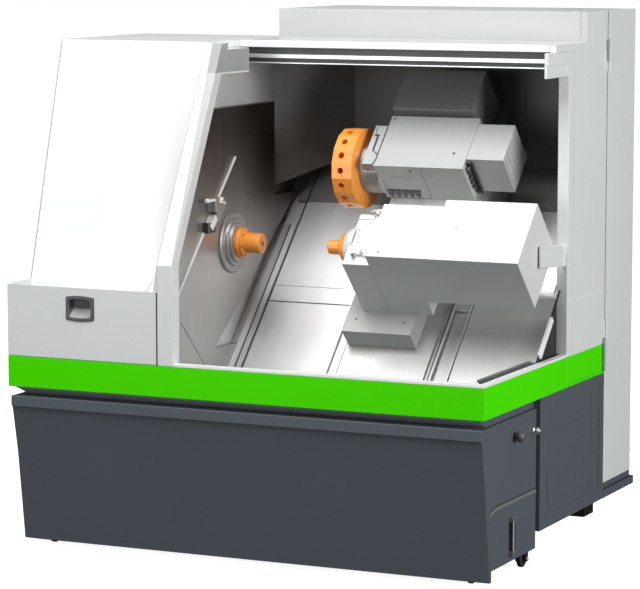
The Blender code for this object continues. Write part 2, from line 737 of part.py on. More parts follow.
def make_main_spindle():
    ring = [
        (0.0, 0.0), (0.0, RING_RADIUS), (RING_BEVEL, RING_RADIUS),
        (RING_PLATE, RING_RADIUS - RING_BEVEL), (RING_PLATE, COLLAR_RADIUS),
        (COLLAR_END, COLLAR_RADIUS - SEAT_BEVEL), (COLLAR_END, SEAT_RADIUS),
        (SEAT_END, SEAT_RADIUS - SEAT_BEVEL), (SEAT_END, 0.0),
    ]
    place = Vector((PLATE_FACE + GAP, AXIS.y, AXIS.z))
    turned("spindle_ring", ring, "steel", place)
    spindle = [
        (0.0, 0.0), (0.0, FLANGE_RADIUS), (FLANGE_EDGE, FLANGE_RADIUS),
        (FLANGE_EDGE + FLANGE_STEP, FLANGE_RADIUS - FLANGE_STEP),
        (FLANGE_END, FLANGE_RADIUS - FLANGE_STEP), (FLANGE_END, NOSE_RADIUS),
        (NOSE_END - NOSE_BEVEL, NOSE_RADIUS), (NOSE_END, NOSE_RADIUS - NOSE_BEVEL),
        (NOSE_END, BORE_RADIUS), (NOSE_END - BORE_DEPTH, BORE_RADIUS), (NOSE_END - BORE_DEPTH, 0.0),
    ]
    place.x += SEAT_END + SLIDE
    turned("main_spindle", spindle, "orange", place)


def make_probe_rail():
    x = PLATE_FACE + GAP
    foot = (PILLAR_THICK + PROBE_CLEAR + FRONT - AXIS.y) / UP.y + PROBE_OUT[1]
    rail = bed_block("probe_rail", (x, x + PROBE_THICK), (foot, PROBE_HEAD), PROBE_OUT, "steel")
    fuse(rail, bed_block("probe_holder", (x, x + HOLDER_THICK), HOLDER_UP, HOLDER_OUT, "steel"))


# Counter spindle on its slide

COUNTER_LEFT = 0.540    # slide's left end from the work area's wall
COUNTER_WIDTH = 0.304
COUNTER_UP = (-0.250, 0.095)
COUNTER_RISE = 0.095    # top of the slide above the bed
HEAD_LENGTH = 0.1185
HOUSING_START = 0.723   # from the work area's wall
HOUSING_END = 0.028     # from the right side
HOUSING_UP = (-0.141, 0.169)
HOUSING_OUT = (-0.152, 0.131)
HOUSING_SINK = 0.010
FOOT_LENGTH = 0.194
FOOT_HEAD = 0.090
FOOT_REST = -0.150      # underside of what overhangs the slide's upper end
STEP_LENGTH = 0.264
STEP_UP = 0.134
HEAD_UP = (HOUSING_UP[0], 0.126)
HEAD_TOP = 0.071
HEAD_BEVEL = 0.010
COUNTER_BORE = 0.010
COUNTER_SINK = 0.020
THROAT_RADIUS = 0.0305
THROAT_BEVEL = 0.003
THROAT_END = 0.047
THROAT_CONE = 0.023
THROAT_HUB = 0.060
NOSE_LENGTH = 0.074
COLLAR_OUT = 0.0465      # collar of the head, to the left of its face
COLLAR_FACE = 0.064
COLLAR_CONE = 0.038
COUNTER_COLLAR = 0.084
HEAD_SINK = 0.010


def make_counter_spindle():
    top = COUNTER_RISE - BED_DROP
    slide_x = (WALL + COUNTER_LEFT, WALL + COUNTER_LEFT + COUNTER_WIDTH)
    bed_block("counter_slide", slide_x, COUNTER_UP, (SLIDE - BED_DROP, top), "grey")
    x = (WALL + HOUSING_START, RIGHT - HOUSING_END)
    housing = bed_block("counter_housing", x, HOUSING_UP, HOUSING_OUT, "white")
    foot_x = (x[0], x[0] + FOOT_LENGTH)
    foot_out = (top + GAP, HOUSING_OUT[0] + HOUSING_SINK)
    fuse(housing, bed_block("housing_foot", foot_x, (HOUSING_UP[0], FOOT_HEAD), foot_out, "white"))
    step_x = (x[0] - PAST, x[0] + STEP_LENGTH)
    step_out = (HOUSING_OUT[0] - PAST, HOUSING_OUT[1] + PAST)
    cut(housing, bed_block("housing_step", step_x, (STEP_UP, HOUSING_UP[1] + PAST), step_out, "white"))
    head = [
        (HEAD_UP[0], top + GAP), (HEAD_UP[0], HEAD_TOP),
        (HEAD_UP[1] - HEAD_BEVEL, HEAD_TOP), (HEAD_UP[1], HEAD_TOP - HEAD_BEVEL),
        (HEAD_UP[1], FOOT_REST), (COUNTER_UP[1], FOOT_REST), (COUNTER_UP[1], top + GAP),
    ]
    head_x = (x[0] - HEAD_LENGTH, x[0] - GAP)
    spindle_head = on_bed("spindle_head", head_x, head, "white")
    collar = [
        (0.0, 0.0), (0.0, COLLAR_FACE), (COLLAR_CONE, COUNTER_COLLAR),
        (COLLAR_OUT + HEAD_SINK, COUNTER_COLLAR), (COLLAR_OUT + HEAD_SINK, 0.0),
    ]
    place = Vector((head_x[0] - COLLAR_OUT, AXIS.y, AXIS.z))
    fuse(spindle_head, turned("head_collar", collar, "white", place))
    nose = [
        (COUNTER_SINK, 0.0), (COUNTER_SINK, COUNTER_BORE), (0.0, COUNTER_BORE),
        (0.0, THROAT_RADIUS - THROAT_BEVEL), (THROAT_BEVEL, THROAT_RADIUS),
        (THROAT_END, THROAT_RADIUS), (THROAT_END + THROAT_CONE, THROAT_HUB),
        (NOSE_LENGTH, THROAT_HUB), (NOSE_LENGTH, 0.0),
    ]
    place.x -= SLIDE + NOSE_LENGTH
    turned("counter_spindle", nose, "orange", place)


# Turret disc

TURRET_UP = 0.427
TURRET_RIGHT = 0.986    # disc's left face from the machine's right side
STATIONS = 16
DISC_RADIUS = 0.168
DISC_BEVEL = 0.006
DISC_FACE = 0.152
DISC_FLAT = 0.094
DISC_BACK = 0.108
DISC_WIDTH = 0.100
SOCKET_RADIUS = 0.015
SOCKET_DEPTH = 0.045
SOCKET_PLACE = 0.0445
DISC_LEFT = RIGHT - TURRET_RIGHT
TURRET = AXIS + UP * TURRET_UP + Vector((DISC_LEFT, 0.0, 0.0))


def make_turret_disc():
    """Sixteen flats with a tool socket in each, and a bevelled rear."""
    profile = [
        (0.0, 0.0), (0.0, DISC_FACE), (DISC_BEVEL, DISC_RADIUS), (DISC_FLAT, DISC_RADIUS),
        (DISC_WIDTH, DISC_BACK), (DISC_WIDTH, 0.0),
    ]
    disc = turned("turret_disc", profile, "orange", TURRET, sides=STATIONS, smooth=1.0)
    floor = DISC_RADIUS - SOCKET_DEPTH
    socket = [
        (floor, 0.0), (floor, SOCKET_RADIUS), (DISC_RADIUS + PAST, SOCKET_RADIUS),
        (DISC_RADIUS + PAST, 0.0),
    ]
    for station in range(STATIONS):
        place = TURRET + Vector((SOCKET_PLACE, 0.0, 0.0))
        cutter = turned("tool_socket", socket, "orange", place, axis="Z", sides=FEW)
        cutter.rotation_euler = (math.tau * station / STATIONS, 0.0, 0.0)
        cut(disc, cutter)


# Turret carrier with its motor, and the three slides under it

SADDLE_OUT = -0.125
SADDLE_UP = (0.190, 0.700)
SADDLE_SIDES = (0.002, 0.005)   # saddle wider than the carrier
X_SLIDE_OUT = -0.080
X_SLIDE_UP = 0.300
X_SLIDE_SIDES = (0.018, 0.005)  # cross slide narrower than the carrier
GUIDE_LEFT = 0.128
GUIDE_WIDTH = 0.180
GUIDE_UP = (0.400, 0.560)
GUIDE_OUT = 0.040
GUIDE_SINK = 0.010
CARRIER_START = 0.188   # from the disc's left face
CARRIER_LENGTH = 0.393
CARRIER_UP = (0.341, 0.615)
CARRIER_OUT = 0.121
HUB_FACE = 0.098
HUB_EDGE = 0.101
HUB_BEVEL = 0.003
HUB_LENGTH = 0.099
HUB_BACK = 0.014
SHELF_LENGTH = 0.058    # plate of the carrier over its hub
SHELF_HEAD = 0.560
SHELF_THICK = 0.034
SHELF_SET = 0.0015      # behind the carrier's faces
MOTOR_LENGTH = 0.163
MOTOR_UP = (0.393, 0.585)
MOTOR_SINK = 0.001
X_COVER_SIDES = (-0.002, 0.037)
X_COVER_FOOT = 0.0235   # cover's lower end above the carrier
X_COVER_OUT = 0.140
X_TRAVEL = 0.080        # cross slide's upward travel
ROOF_CLEAR = 0.0413     # cover's top below the roof sheet at that end
CARRIER_X = (DISC_LEFT + CARRIER_START, DISC_LEFT + CARRIER_START + CARRIER_LENGTH)
GUIDE_X = (CARRIER_X[0] + GUIDE_LEFT, CARRIER_X[0] + GUIDE_LEFT + GUIDE_WIDTH)
SLIDE_HEAD = (CEILING - ROOF_CLEAR - AXIS_HEIGHT) / UP.z - X_COVER_OUT - X_TRAVEL


def make_turret_slides():
    x = (CARRIER_X[0] - SADDLE_SIDES[0], CARRIER_X[1] + SADDLE_SIDES[1])
    bed_block("z1_saddle", x, SADDLE_UP, (SLIDE - BED_DROP, SADDLE_OUT), "steel")
    x = (CARRIER_X[0] + X_SLIDE_SIDES[0], CARRIER_X[1] - X_SLIDE_SIDES[1])
    up = (X_SLIDE_UP, SLIDE_HEAD)
    slide = bed_block("x1_slide", x, up, (SADDLE_OUT + SLIDE, X_SLIDE_OUT), "steel")
    out = (X_SLIDE_OUT - GUIDE_SINK, GUIDE_OUT)
    fuse(slide, bed_block("y1_guide", GUIDE_X, GUIDE_UP, out, "steel"))
    x = (CARRIER_X[0] + X_COVER_SIDES[0], CARRIER_X[1] - X_COVER_SIDES[1])
    up = (CARRIER_UP[1] + X_COVER_FOOT, SLIDE_HEAD)
    bed_block("x1_cover", x, up, (X_SLIDE_OUT + GAP, X_COVER_OUT), "grey")


def make_turret_carrier():
    out = (X_SLIDE_OUT + SLIDE, CARRIER_OUT)
    carrier = bed_block("turret_carrier", CARRIER_X, CARRIER_UP, out, "white")
    hub = [
        (0.0, 0.0), (0.0, HUB_FACE), (HUB_BEVEL, HUB_EDGE), (HUB_LENGTH - HUB_BACK, HUB_EDGE),
        (HUB_LENGTH, HUB_FACE), (HUB_LENGTH, 0.0),
    ]
    place = TURRET + Vector((DISC_WIDTH + SLIDE, 0.0, 0.0))
    fuse(carrier, turned("carrier_hub", hub, "white", place))
    x = (CARRIER_X[0] - SHELF_LENGTH, CARRIER_X[0] + PAST)
    up = (CARRIER_UP[0] + SHELF_SET, SHELF_HEAD)
    out = (CARRIER_OUT - SHELF_THICK, CARRIER_OUT - SHELF_SET)
    fuse(carrier, bed_block("hub_shelf", x, up, out, "white"))
    x = (GUIDE_X[0] - SLIDE, GUIDE_X[1] + SLIDE)
    up = (GUIDE_UP[0] - SLIDE, GUIDE_UP[1] + SLIDE)
    cut(carrier, bed_block("guide_way", x, up, (X_SLIDE_OUT - PAST, GUIDE_OUT + SLIDE), "white"))
    x = (CARRIER_X[1] + GAP, CARRIER_X[1] + MOTOR_LENGTH)
    bed_block("turret_motor", x, MOTOR_UP, (X_SLIDE_OUT + MOTOR_SINK, CARRIER_OUT), "white")


def build():
    clear_scene()
    make_tank()
    make_castors()
    make_base()
    make_feet()
    make_base_panels()
    make_bands()
    make_left_housing()
    make_left_pillar()
    make_drawer()
    make_right_pillar()
    make_side_sheet()
    make_roof()
    make_door_rail()
    make_sill()
    make_cabinet()
    make_cabinet_door()
    make_bed()
    make_bed_covers()
    make_wall_plate()
    make_main_spindle()
    make_probe_rail()
    make_counter_spindle()
    make_turret_disc()
    make_turret_slides()
    make_turret_carrier()


build()
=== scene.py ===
import math

import bmesh
import bpy
from mathutils import Matrix, Vector


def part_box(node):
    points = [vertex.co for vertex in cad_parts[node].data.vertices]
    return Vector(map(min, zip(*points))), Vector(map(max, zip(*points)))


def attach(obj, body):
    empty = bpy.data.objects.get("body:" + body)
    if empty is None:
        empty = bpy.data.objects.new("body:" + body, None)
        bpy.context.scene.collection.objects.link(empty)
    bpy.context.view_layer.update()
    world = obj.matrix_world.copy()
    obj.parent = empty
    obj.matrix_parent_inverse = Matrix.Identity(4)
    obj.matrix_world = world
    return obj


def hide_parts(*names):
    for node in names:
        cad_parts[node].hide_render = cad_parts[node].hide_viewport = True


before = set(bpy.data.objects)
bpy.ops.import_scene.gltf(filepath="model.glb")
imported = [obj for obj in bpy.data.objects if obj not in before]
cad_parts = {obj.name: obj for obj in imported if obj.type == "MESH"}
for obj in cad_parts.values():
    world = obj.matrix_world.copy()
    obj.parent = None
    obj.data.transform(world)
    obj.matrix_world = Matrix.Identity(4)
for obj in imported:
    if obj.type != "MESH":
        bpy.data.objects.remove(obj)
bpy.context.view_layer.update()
print("frame loaded:", len(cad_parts), "nodes")

# Places that the pieces are set from, all read off the frame
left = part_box("front_band")[0].x
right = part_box("front_band")[1].x
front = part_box("front_band")[0].y
bandBottom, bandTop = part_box("front_band")[0].z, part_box("front_band")[1].z
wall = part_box("left_housing")[1].x
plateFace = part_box("spindle_wall_plate")[1].x
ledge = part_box("parts_drawer")[1].z
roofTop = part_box("roof_panel")[1].z
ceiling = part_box("roof_panel")[0].z
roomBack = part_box("right_side_panel")[1].y - 0.006
axis = (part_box("spindle_ring")[0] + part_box("spindle_ring")[1]) / 2
slant = math.sqrt(0.5)
upSlope = Vector((0.0, slant, slant))
outSlope = Vector((0.0, -slant, slant))


def spot(x, up, out):
    # a place in the slope's own directions, counted from the spindle line
    return Vector((x, axis.y, axis.z)) + upSlope * up + outSlope * out


def away(depth):
    # how far back a place lies that is counted from the machine's front
    return front + depth


# Which way a face looks: its own right, its own up, and outward
facings = {
    "front": (Vector((1, 0, 0)), Vector((0, 0, 1)), Vector((0, -1, 0))),
    "right": (Vector((0, 1, 0)), Vector((0, 0, 1)), Vector((1, 0, 0))),
    "left": (Vector((0, -1, 0)), Vector((0, 0, 1)), Vector((-1, 0, 0))),
    "top": (Vector((1, 0, 0)), Vector((0, 1, 0)), Vector((0, 0, 1))),
    "slope": (Vector((1, 0, 0)), upSlope, outSlope),
    "slopeFoot": (Vector((1, 0, 0)), outSlope, -upSlope),
    "slopeRight": (upSlope, outSlope, Vector((1, 0, 0))),
}


def facing(way, place):
    # the matrix that lays a drawing on a face at this place
    across, up, out = facings[way]
    turn = Matrix((across, up, out)).transposed().to_4x4()
    return Matrix.Translation(place) @ turn


# Shader node groups, each built once and shared by the finishes

def newGroup(name, inputs, outputs):
    group = bpy.data.node_groups.new(name, "ShaderNodeTree")
    for label, kind, value in inputs:
        socket = group.interface.new_socket(name=label, in_out="INPUT", socket_type=kind)
        socket.default_value = value
    for label, kind in outputs:
        group.interface.new_socket(name=label, in_out="OUTPUT", socket_type=kind)
    return group, group.nodes.new("NodeGroupInput"), group.nodes.new("NodeGroupOutput")


def addNode(tree, kind, links=(), **settings):
    node = tree.nodes.new(kind)
    for key, value in settings.items():
        setattr(node, key, value)
    for socket, source in links:
        if hasattr(source, "is_output"):
            tree.links.new(source, node.inputs[socket])
        else:
            node.inputs[socket].default_value = source
    return node


def maths(tree, operation, first, second=0.0, clamp=False):
    made = addNode(tree, "ShaderNodeMath", [(0, first), (1, second)], operation=operation)
    made.use_clamp = clamp
    return made.outputs[0]


def ramped(tree, value, low, high):
    links = [("Value", value), ("From Min", low), ("From Max", high)]
    return addNode(tree, "ShaderNodeMapRange", links).outputs["Result"]


# Where a mask starts and where it is full
bands = {"edge": (0.995, 0.86), "patches": (0.46, 0.66), "level": (0.35, 1.0), "drifts": (0.42, 0.75),
         "stains": (0.45, 0.7)}


def makeWearGroup():
    # where a rounded normal leaves the flat one there is an edge, rubbed in patches
    group, given, result = newGroup(
        "edgeWear",
        [("Radius", "NodeSocketFloat", 0.004), ("Patches", "NodeSocketFloat", 14.0)],
        [("Wear", "NodeSocketFloat")],
    )
    place = addNode(group, "ShaderNodeTexCoord")
    rounded = addNode(group, "ShaderNodeBevel", [("Radius", given.outputs["Radius"])], samples=4)
    flat = addNode(group, "ShaderNodeNewGeometry")
    turned = addNode(
        group, "ShaderNodeVectorMath",
        [(0, rounded.outputs[0]), (1, flat.outputs["Normal"])], operation="DOT_PRODUCT",
    )
    edge = ramped(group, turned.outputs["Value"], *bands["edge"])
    links = [("Vector", place.outputs["Object"]), ("Scale", given.outputs["Patches"]), ("Detail", 5.0)]
    noise = addNode(group, "ShaderNodeTexNoise", links)
    patches = ramped(group, noise.outputs["Fac"], *bands["patches"])
    group.links.new(maths(group, "MULTIPLY", edge, patches, True), result.inputs["Wear"])
    return group


def makeGrainGroup():
    # orange peel of sprayed paint, with the slow unevenness of a large sheet
    group, given, result = newGroup(
        "paintGrain",
        [("Peel", "NodeSocketFloat", 520.0), ("Sheet", "NodeSocketFloat", 2.2)],
        [("Fine", "NodeSocketFloat"), ("Slow", "NodeSocketFloat")],
    )
    place = addNode(group, "ShaderNodeTexCoord").outputs["Object"]
    links = [("Vector", place), ("Scale", given.outputs["Peel"]), ("Detail", 2.0)]
    fine = addNode(group, "ShaderNodeTexNoise", links)
    links = [("Vector", place), ("Scale", given.outputs["Sheet"]), ("Detail", 4.0)]
    slow = addNode(group, "ShaderNodeTexNoise", links)
    group.links.new(fine.outputs["Fac"], result.inputs["Fine"])
    group.links.new(slow.outputs["Fac"], result.inputs["Slow"])
    return group


def makeBrushGroup():
    # long fine scratches along one direction, set by how each axis is stretched
    group, given, result = newGroup(
        "brushLines",
        [("Stretch", "NodeSocketVector", (4.0, 420.0, 420.0))],
        [("Lines", "NodeSocketFloat"), ("Bands", "NodeSocketFloat")],
    )
    place = addNode(group, "ShaderNodeTexCoord").outputs["Object"]
    links = [("Vector", place), ("Scale", given.outputs["Stretch"])]
    pulled = addNode(group, "ShaderNodeMapping", links).outputs["Vector"]
    lines = addNode(group, "ShaderNodeTexNoise", [("Vector", pulled), ("Scale", 1.0), ("Detail", 3.0)])
    small = addNode(
        group, "ShaderNodeVectorMath", [(0, pulled), (1, (0.06, 0.06, 0.06))], operation="MULTIPLY"
    )
    links = [("Vector", small.outputs["Vector"]), ("Scale", 1.0), ("Detail", 2.0)]
    bands = addNode(group, "ShaderNodeTexNoise", links)
    group.links.new(lines.outputs["Fac"], result.inputs["Lines"])
    group.links.new(bands.outputs["Fac"], result.inputs["Bands"])
    return group


def makeDustGroup():
    # fine shop dust that lies on what looks up, in drifts
    group, given, result = newGroup(
        "shopDust", [("Drifts", "NodeSocketFloat", 5.0)], [("Dust", "NodeSocketFloat")]
    )
    place = addNode(group, "ShaderNodeTexCoord").outputs["Object"]
    up = addNode(group, "ShaderNodeSeparateXYZ",
                 [("Vector", addNode(group, "ShaderNodeNewGeometry").outputs["Normal"])])
    level = ramped(group, up.outputs["Z"], *bands["level"])
    links = [("Vector", place), ("Scale", given.outputs["Drifts"]), ("Detail", 6.0)]
    drifts = ramped(group, addNode(group, "ShaderNodeTexNoise", links).outputs["Fac"], *bands["drifts"])
    group.links.new(maths(group, "MULTIPLY", level, drifts, True), result.inputs["Dust"])
    return group


def makeDepthGroup():
    # how far a place lies back and up in the work area, where less light reaches
    group, given, result = newGroup(
        "depthShade",
        [(label, "NodeSocketFloat", value) for label, value in (
            ("Back", 0.5), ("Front", 0.0), ("BackShare", 0.5),
            ("Top", 1.8), ("Foot", 1.2), ("TopShare", 0.5))],
        [("Shade", "NodeSocketFloat")],
    )
    place = addNode(group, "ShaderNodeSeparateXYZ",
                    [("Vector", addNode(group, "ShaderNodeTexCoord").outputs["Object"])])
    back = ramped(group, place.outputs["Y"], given.outputs["Front"], given.outputs["Back"])
    high = ramped(group, place.outputs["Z"], given.outputs["Foot"], given.outputs["Top"])
    back.node.interpolation_type = high.node.interpolation_type = "SMOOTHSTEP"
    both = maths(group, "ADD", maths(group, "MULTIPLY", back, given.outputs["BackShare"]),
                 maths(group, "MULTIPLY", high, given.outputs["TopShare"]), True)
    group.links.new(both, result.inputs["Shade"])
    return group


groups = {
    "depth": makeDepthGroup(),
    "wear": makeWearGroup(),
    "grain": makeGrainGroup(),
    "brush": makeBrushGroup(),
    "dust": makeDustGroup(),
}


def grouped(tree, name, **values):
    node = tree.nodes.new("ShaderNodeGroup")
    node.node_tree = groups[name]
    for label, value in values.items():
        node.inputs[label].default_value = value
    return node


def mixed(tree, amount, first, second):
    node = tree.nodes.new("ShaderNodeMix")
    node.data_type = "RGBA"
    node.clamp_factor = True
    for index, value in ((0, amount), (6, first), (7, second)):
        if hasattr(value, "is_output"):
            tree.links.new(value, node.inputs[index])
        elif index == 0:
            node.inputs[0].default_value = value
        else:
            node.inputs[index].default_value = (*value, 1.0)
    return node.outputs[2]


def newFinish(name, **constants):
    made = bpy.data.materials.new(name)
    made.use_nodes = True
    shader = made.node_tree.nodes["Principled BSDF"]
    for label, value in constants.items():
        shader.inputs[label.replace("_", " ")].default_value = value
    return made, made.node_tree, shader


def shade(colour, factor):
    return tuple(channel * factor for channel in colour)


# How the finishes' tones and gloss leave their stated values, as shares or in metres
strays = {
    "sheetLow": 0.965, "sheetHigh": 1.03, "worn": 0.72, "paintGloss": 0.10, "dustMatt": 0.5,
    "peelDepth": 0.0006, "dust": (0.46, 0.45, 0.43), "cloudScale": 3.4, "stained": 0.72,
    "edgeBright": 1.25, "edgeShare": 0.5,
    "metalGloss": 0.22, "stainMatt": 0.25, "lineBump": 0.05, "lineDepth": 0.0004, "thinEdge": 0.002,
    "mouldLow": 0.8, "mouldHigh": 1.25, "scuff": (0.16, 0.16, 0.16), "scuffShare": 0.4, "mouldGloss": 0.2,
    "pitBump": 0.12, "pitDepth": 0.0005,
}


def paint(name, colour, roughness, peel=520.0, worn=None, wear=0.5, dusty=0.10, coat=0.25, bump=0.06,
          gloss=0.5):
    # sprayed paint: peel, slow tone, rubbed edges and a little dust on top
    made, tree, shader = newFinish(name, Coat_Roughness=0.18, Specular_IOR_Level=gloss)
    grain = grouped(tree, "grain", Peel=peel)
    tone = mixed(tree, grain.outputs["Slow"], shade(colour, strays["sheetLow"]),
                 shade(colour, strays["sheetHigh"]))
    edge = grouped(tree, "wear")
    amount = maths(tree, "MULTIPLY", edge.outputs["Wear"], wear)
    rubbed = mixed(tree, amount, tone, worn or shade(colour, strays["worn"]))
    dust = maths(tree, "MULTIPLY", grouped(tree, "dust").outputs["Dust"], dusty)
    final = mixed(tree, dust, rubbed, strays["dust"])
    tree.links.new(final, shader.inputs["Base Color"])
    matt = maths(tree, "MULTIPLY_ADD", grain.outputs["Slow"], strays["paintGloss"])
    matt.node.inputs[2].default_value = roughness - strays["paintGloss"] / 2
    more = maths(tree, "ADD", matt, maths(tree, "MULTIPLY", dust, strays["dustMatt"]), True)
    tree.links.new(more, shader.inputs["Roughness"])
    glossy = maths(tree, "MULTIPLY_ADD", dust, -coat)
    glossy.node.inputs[2].default_value = coat
    tree.links.new(glossy, shader.inputs["Coat Weight"])
    peeled = addNode(
        tree, "ShaderNodeBump",
        [("Strength", bump), ("Distance", strays["peelDepth"]), ("Height", grain.outputs["Fine"])],
    )
    tree.links.new(peeled.outputs["Normal"], shader.inputs["Normal"])
    return made


def metal(name, colour, roughness, stretch=(4.0, 420.0, 420.0), contrast=0.16, stain=0.25, metallic=1.0,
          depth=None, paintedShadeColour=(0.04, 0.035, 0.03)):
    # brushed or ground metal: lines in tone, gloss and height, with cloudy stains
    made, tree, shader = newFinish(name, Metallic=metallic)
    brush = grouped(tree, "brush", Stretch=stretch)
    lined = mixed(tree, brush.outputs["Lines"], shade(colour, 1 - contrast), shade(colour, 1 + contrast))
    cloud = grouped(tree, "grain", Sheet=strays["cloudScale"])
    amount = maths(tree, "MULTIPLY", ramped(tree, cloud.outputs["Slow"], *bands["stains"]), stain)
    tone = mixed(tree, amount, lined, shade(colour, strays["stained"]))
    # painted shade: where the depth ramps rise, the tone goes over to the dark shade colour
    if depth:
        tone = mixed(tree, grouped(tree, "depth", **depth).outputs["Shade"], tone, paintedShadeColour)
    edge = grouped(tree, "wear", Radius=strays["thinEdge"])
    bright = maths(tree, "MULTIPLY", edge.outputs["Wear"], strays["edgeShare"])
    edged = mixed(tree, bright, tone, shade(colour, strays["edgeBright"]))
    tree.links.new(edged, shader.inputs["Base Color"])
    spread = maths(tree, "MULTIPLY_ADD", brush.outputs["Bands"], strays["metalGloss"])
    spread.node.inputs[2].default_value = roughness - strays["metalGloss"] / 2
    rough = maths(tree, "ADD", spread, maths(tree, "MULTIPLY", amount, strays["stainMatt"]), True)
    tree.links.new(rough, shader.inputs["Roughness"])
    ridged = addNode(
        tree, "ShaderNodeBump",
        [("Strength", strays["lineBump"]), ("Distance", strays["lineDepth"]),
         ("Height", brush.outputs["Lines"])],
    )
    tree.links.new(ridged.outputs["Normal"], shader.inputs["Normal"])
    return made


def moulded(name, colour, roughness, grainScale=900.0):
    # moulded plastic or rubber: fine leather-like grain and scuffed edges
    made, tree, shader = newFinish(name)
    grain = grouped(tree, "grain", Peel=grainScale, Sheet=9.0)
    tone = mixed(tree, grain.outputs["Slow"], shade(colour, strays["mouldLow"]),
                 shade(colour, strays["mouldHigh"]))
    edge = grouped(tree, "wear", Radius=strays["thinEdge"], Patches=40.0)
    amount = maths(tree, "MULTIPLY", edge.outputs["Wear"], strays["scuffShare"])
    scuffed = mixed(tree, amount, tone, strays["scuff"])
    tree.links.new(scuffed, shader.inputs["Base Color"])
    rough = maths(tree, "MULTIPLY_ADD", grain.outputs["Slow"], strays["mouldGloss"])
    rough.node.inputs[2].default_value = roughness - strays["mouldGloss"] / 2
    tree.links.new(rough, shader.inputs["Roughness"])
    pitted = addNode(
        tree, "ShaderNodeBump",
        [("Strength", strays["pitBump"]), ("Distance", strays["pitDepth"]),
         ("Height", grain.outputs["Fine"])],
    )
    tree.links.new(pitted.outputs["Normal"], shader.inputs["Normal"])
    return made


def clearPane(name, tint):
    # clear plastic that scatters a little of what passes through
    made, tree, shader = newFinish(name, Transmission_Weight=0.6, IOR=1.45, Metallic=0.0)
    grain = grouped(tree, "grain", Peel=300.0, Sheet=30.0)
    tree.links.new(mixed(tree, grain.outputs["Slow"], shade(tint, 0.85), tint), shader.inputs["Base Color"])
    rough = maths(tree, "MULTIPLY", grain.outputs["Slow"], 0.2)
    tree.links.new(rough, shader.inputs["Roughness"])
    return made


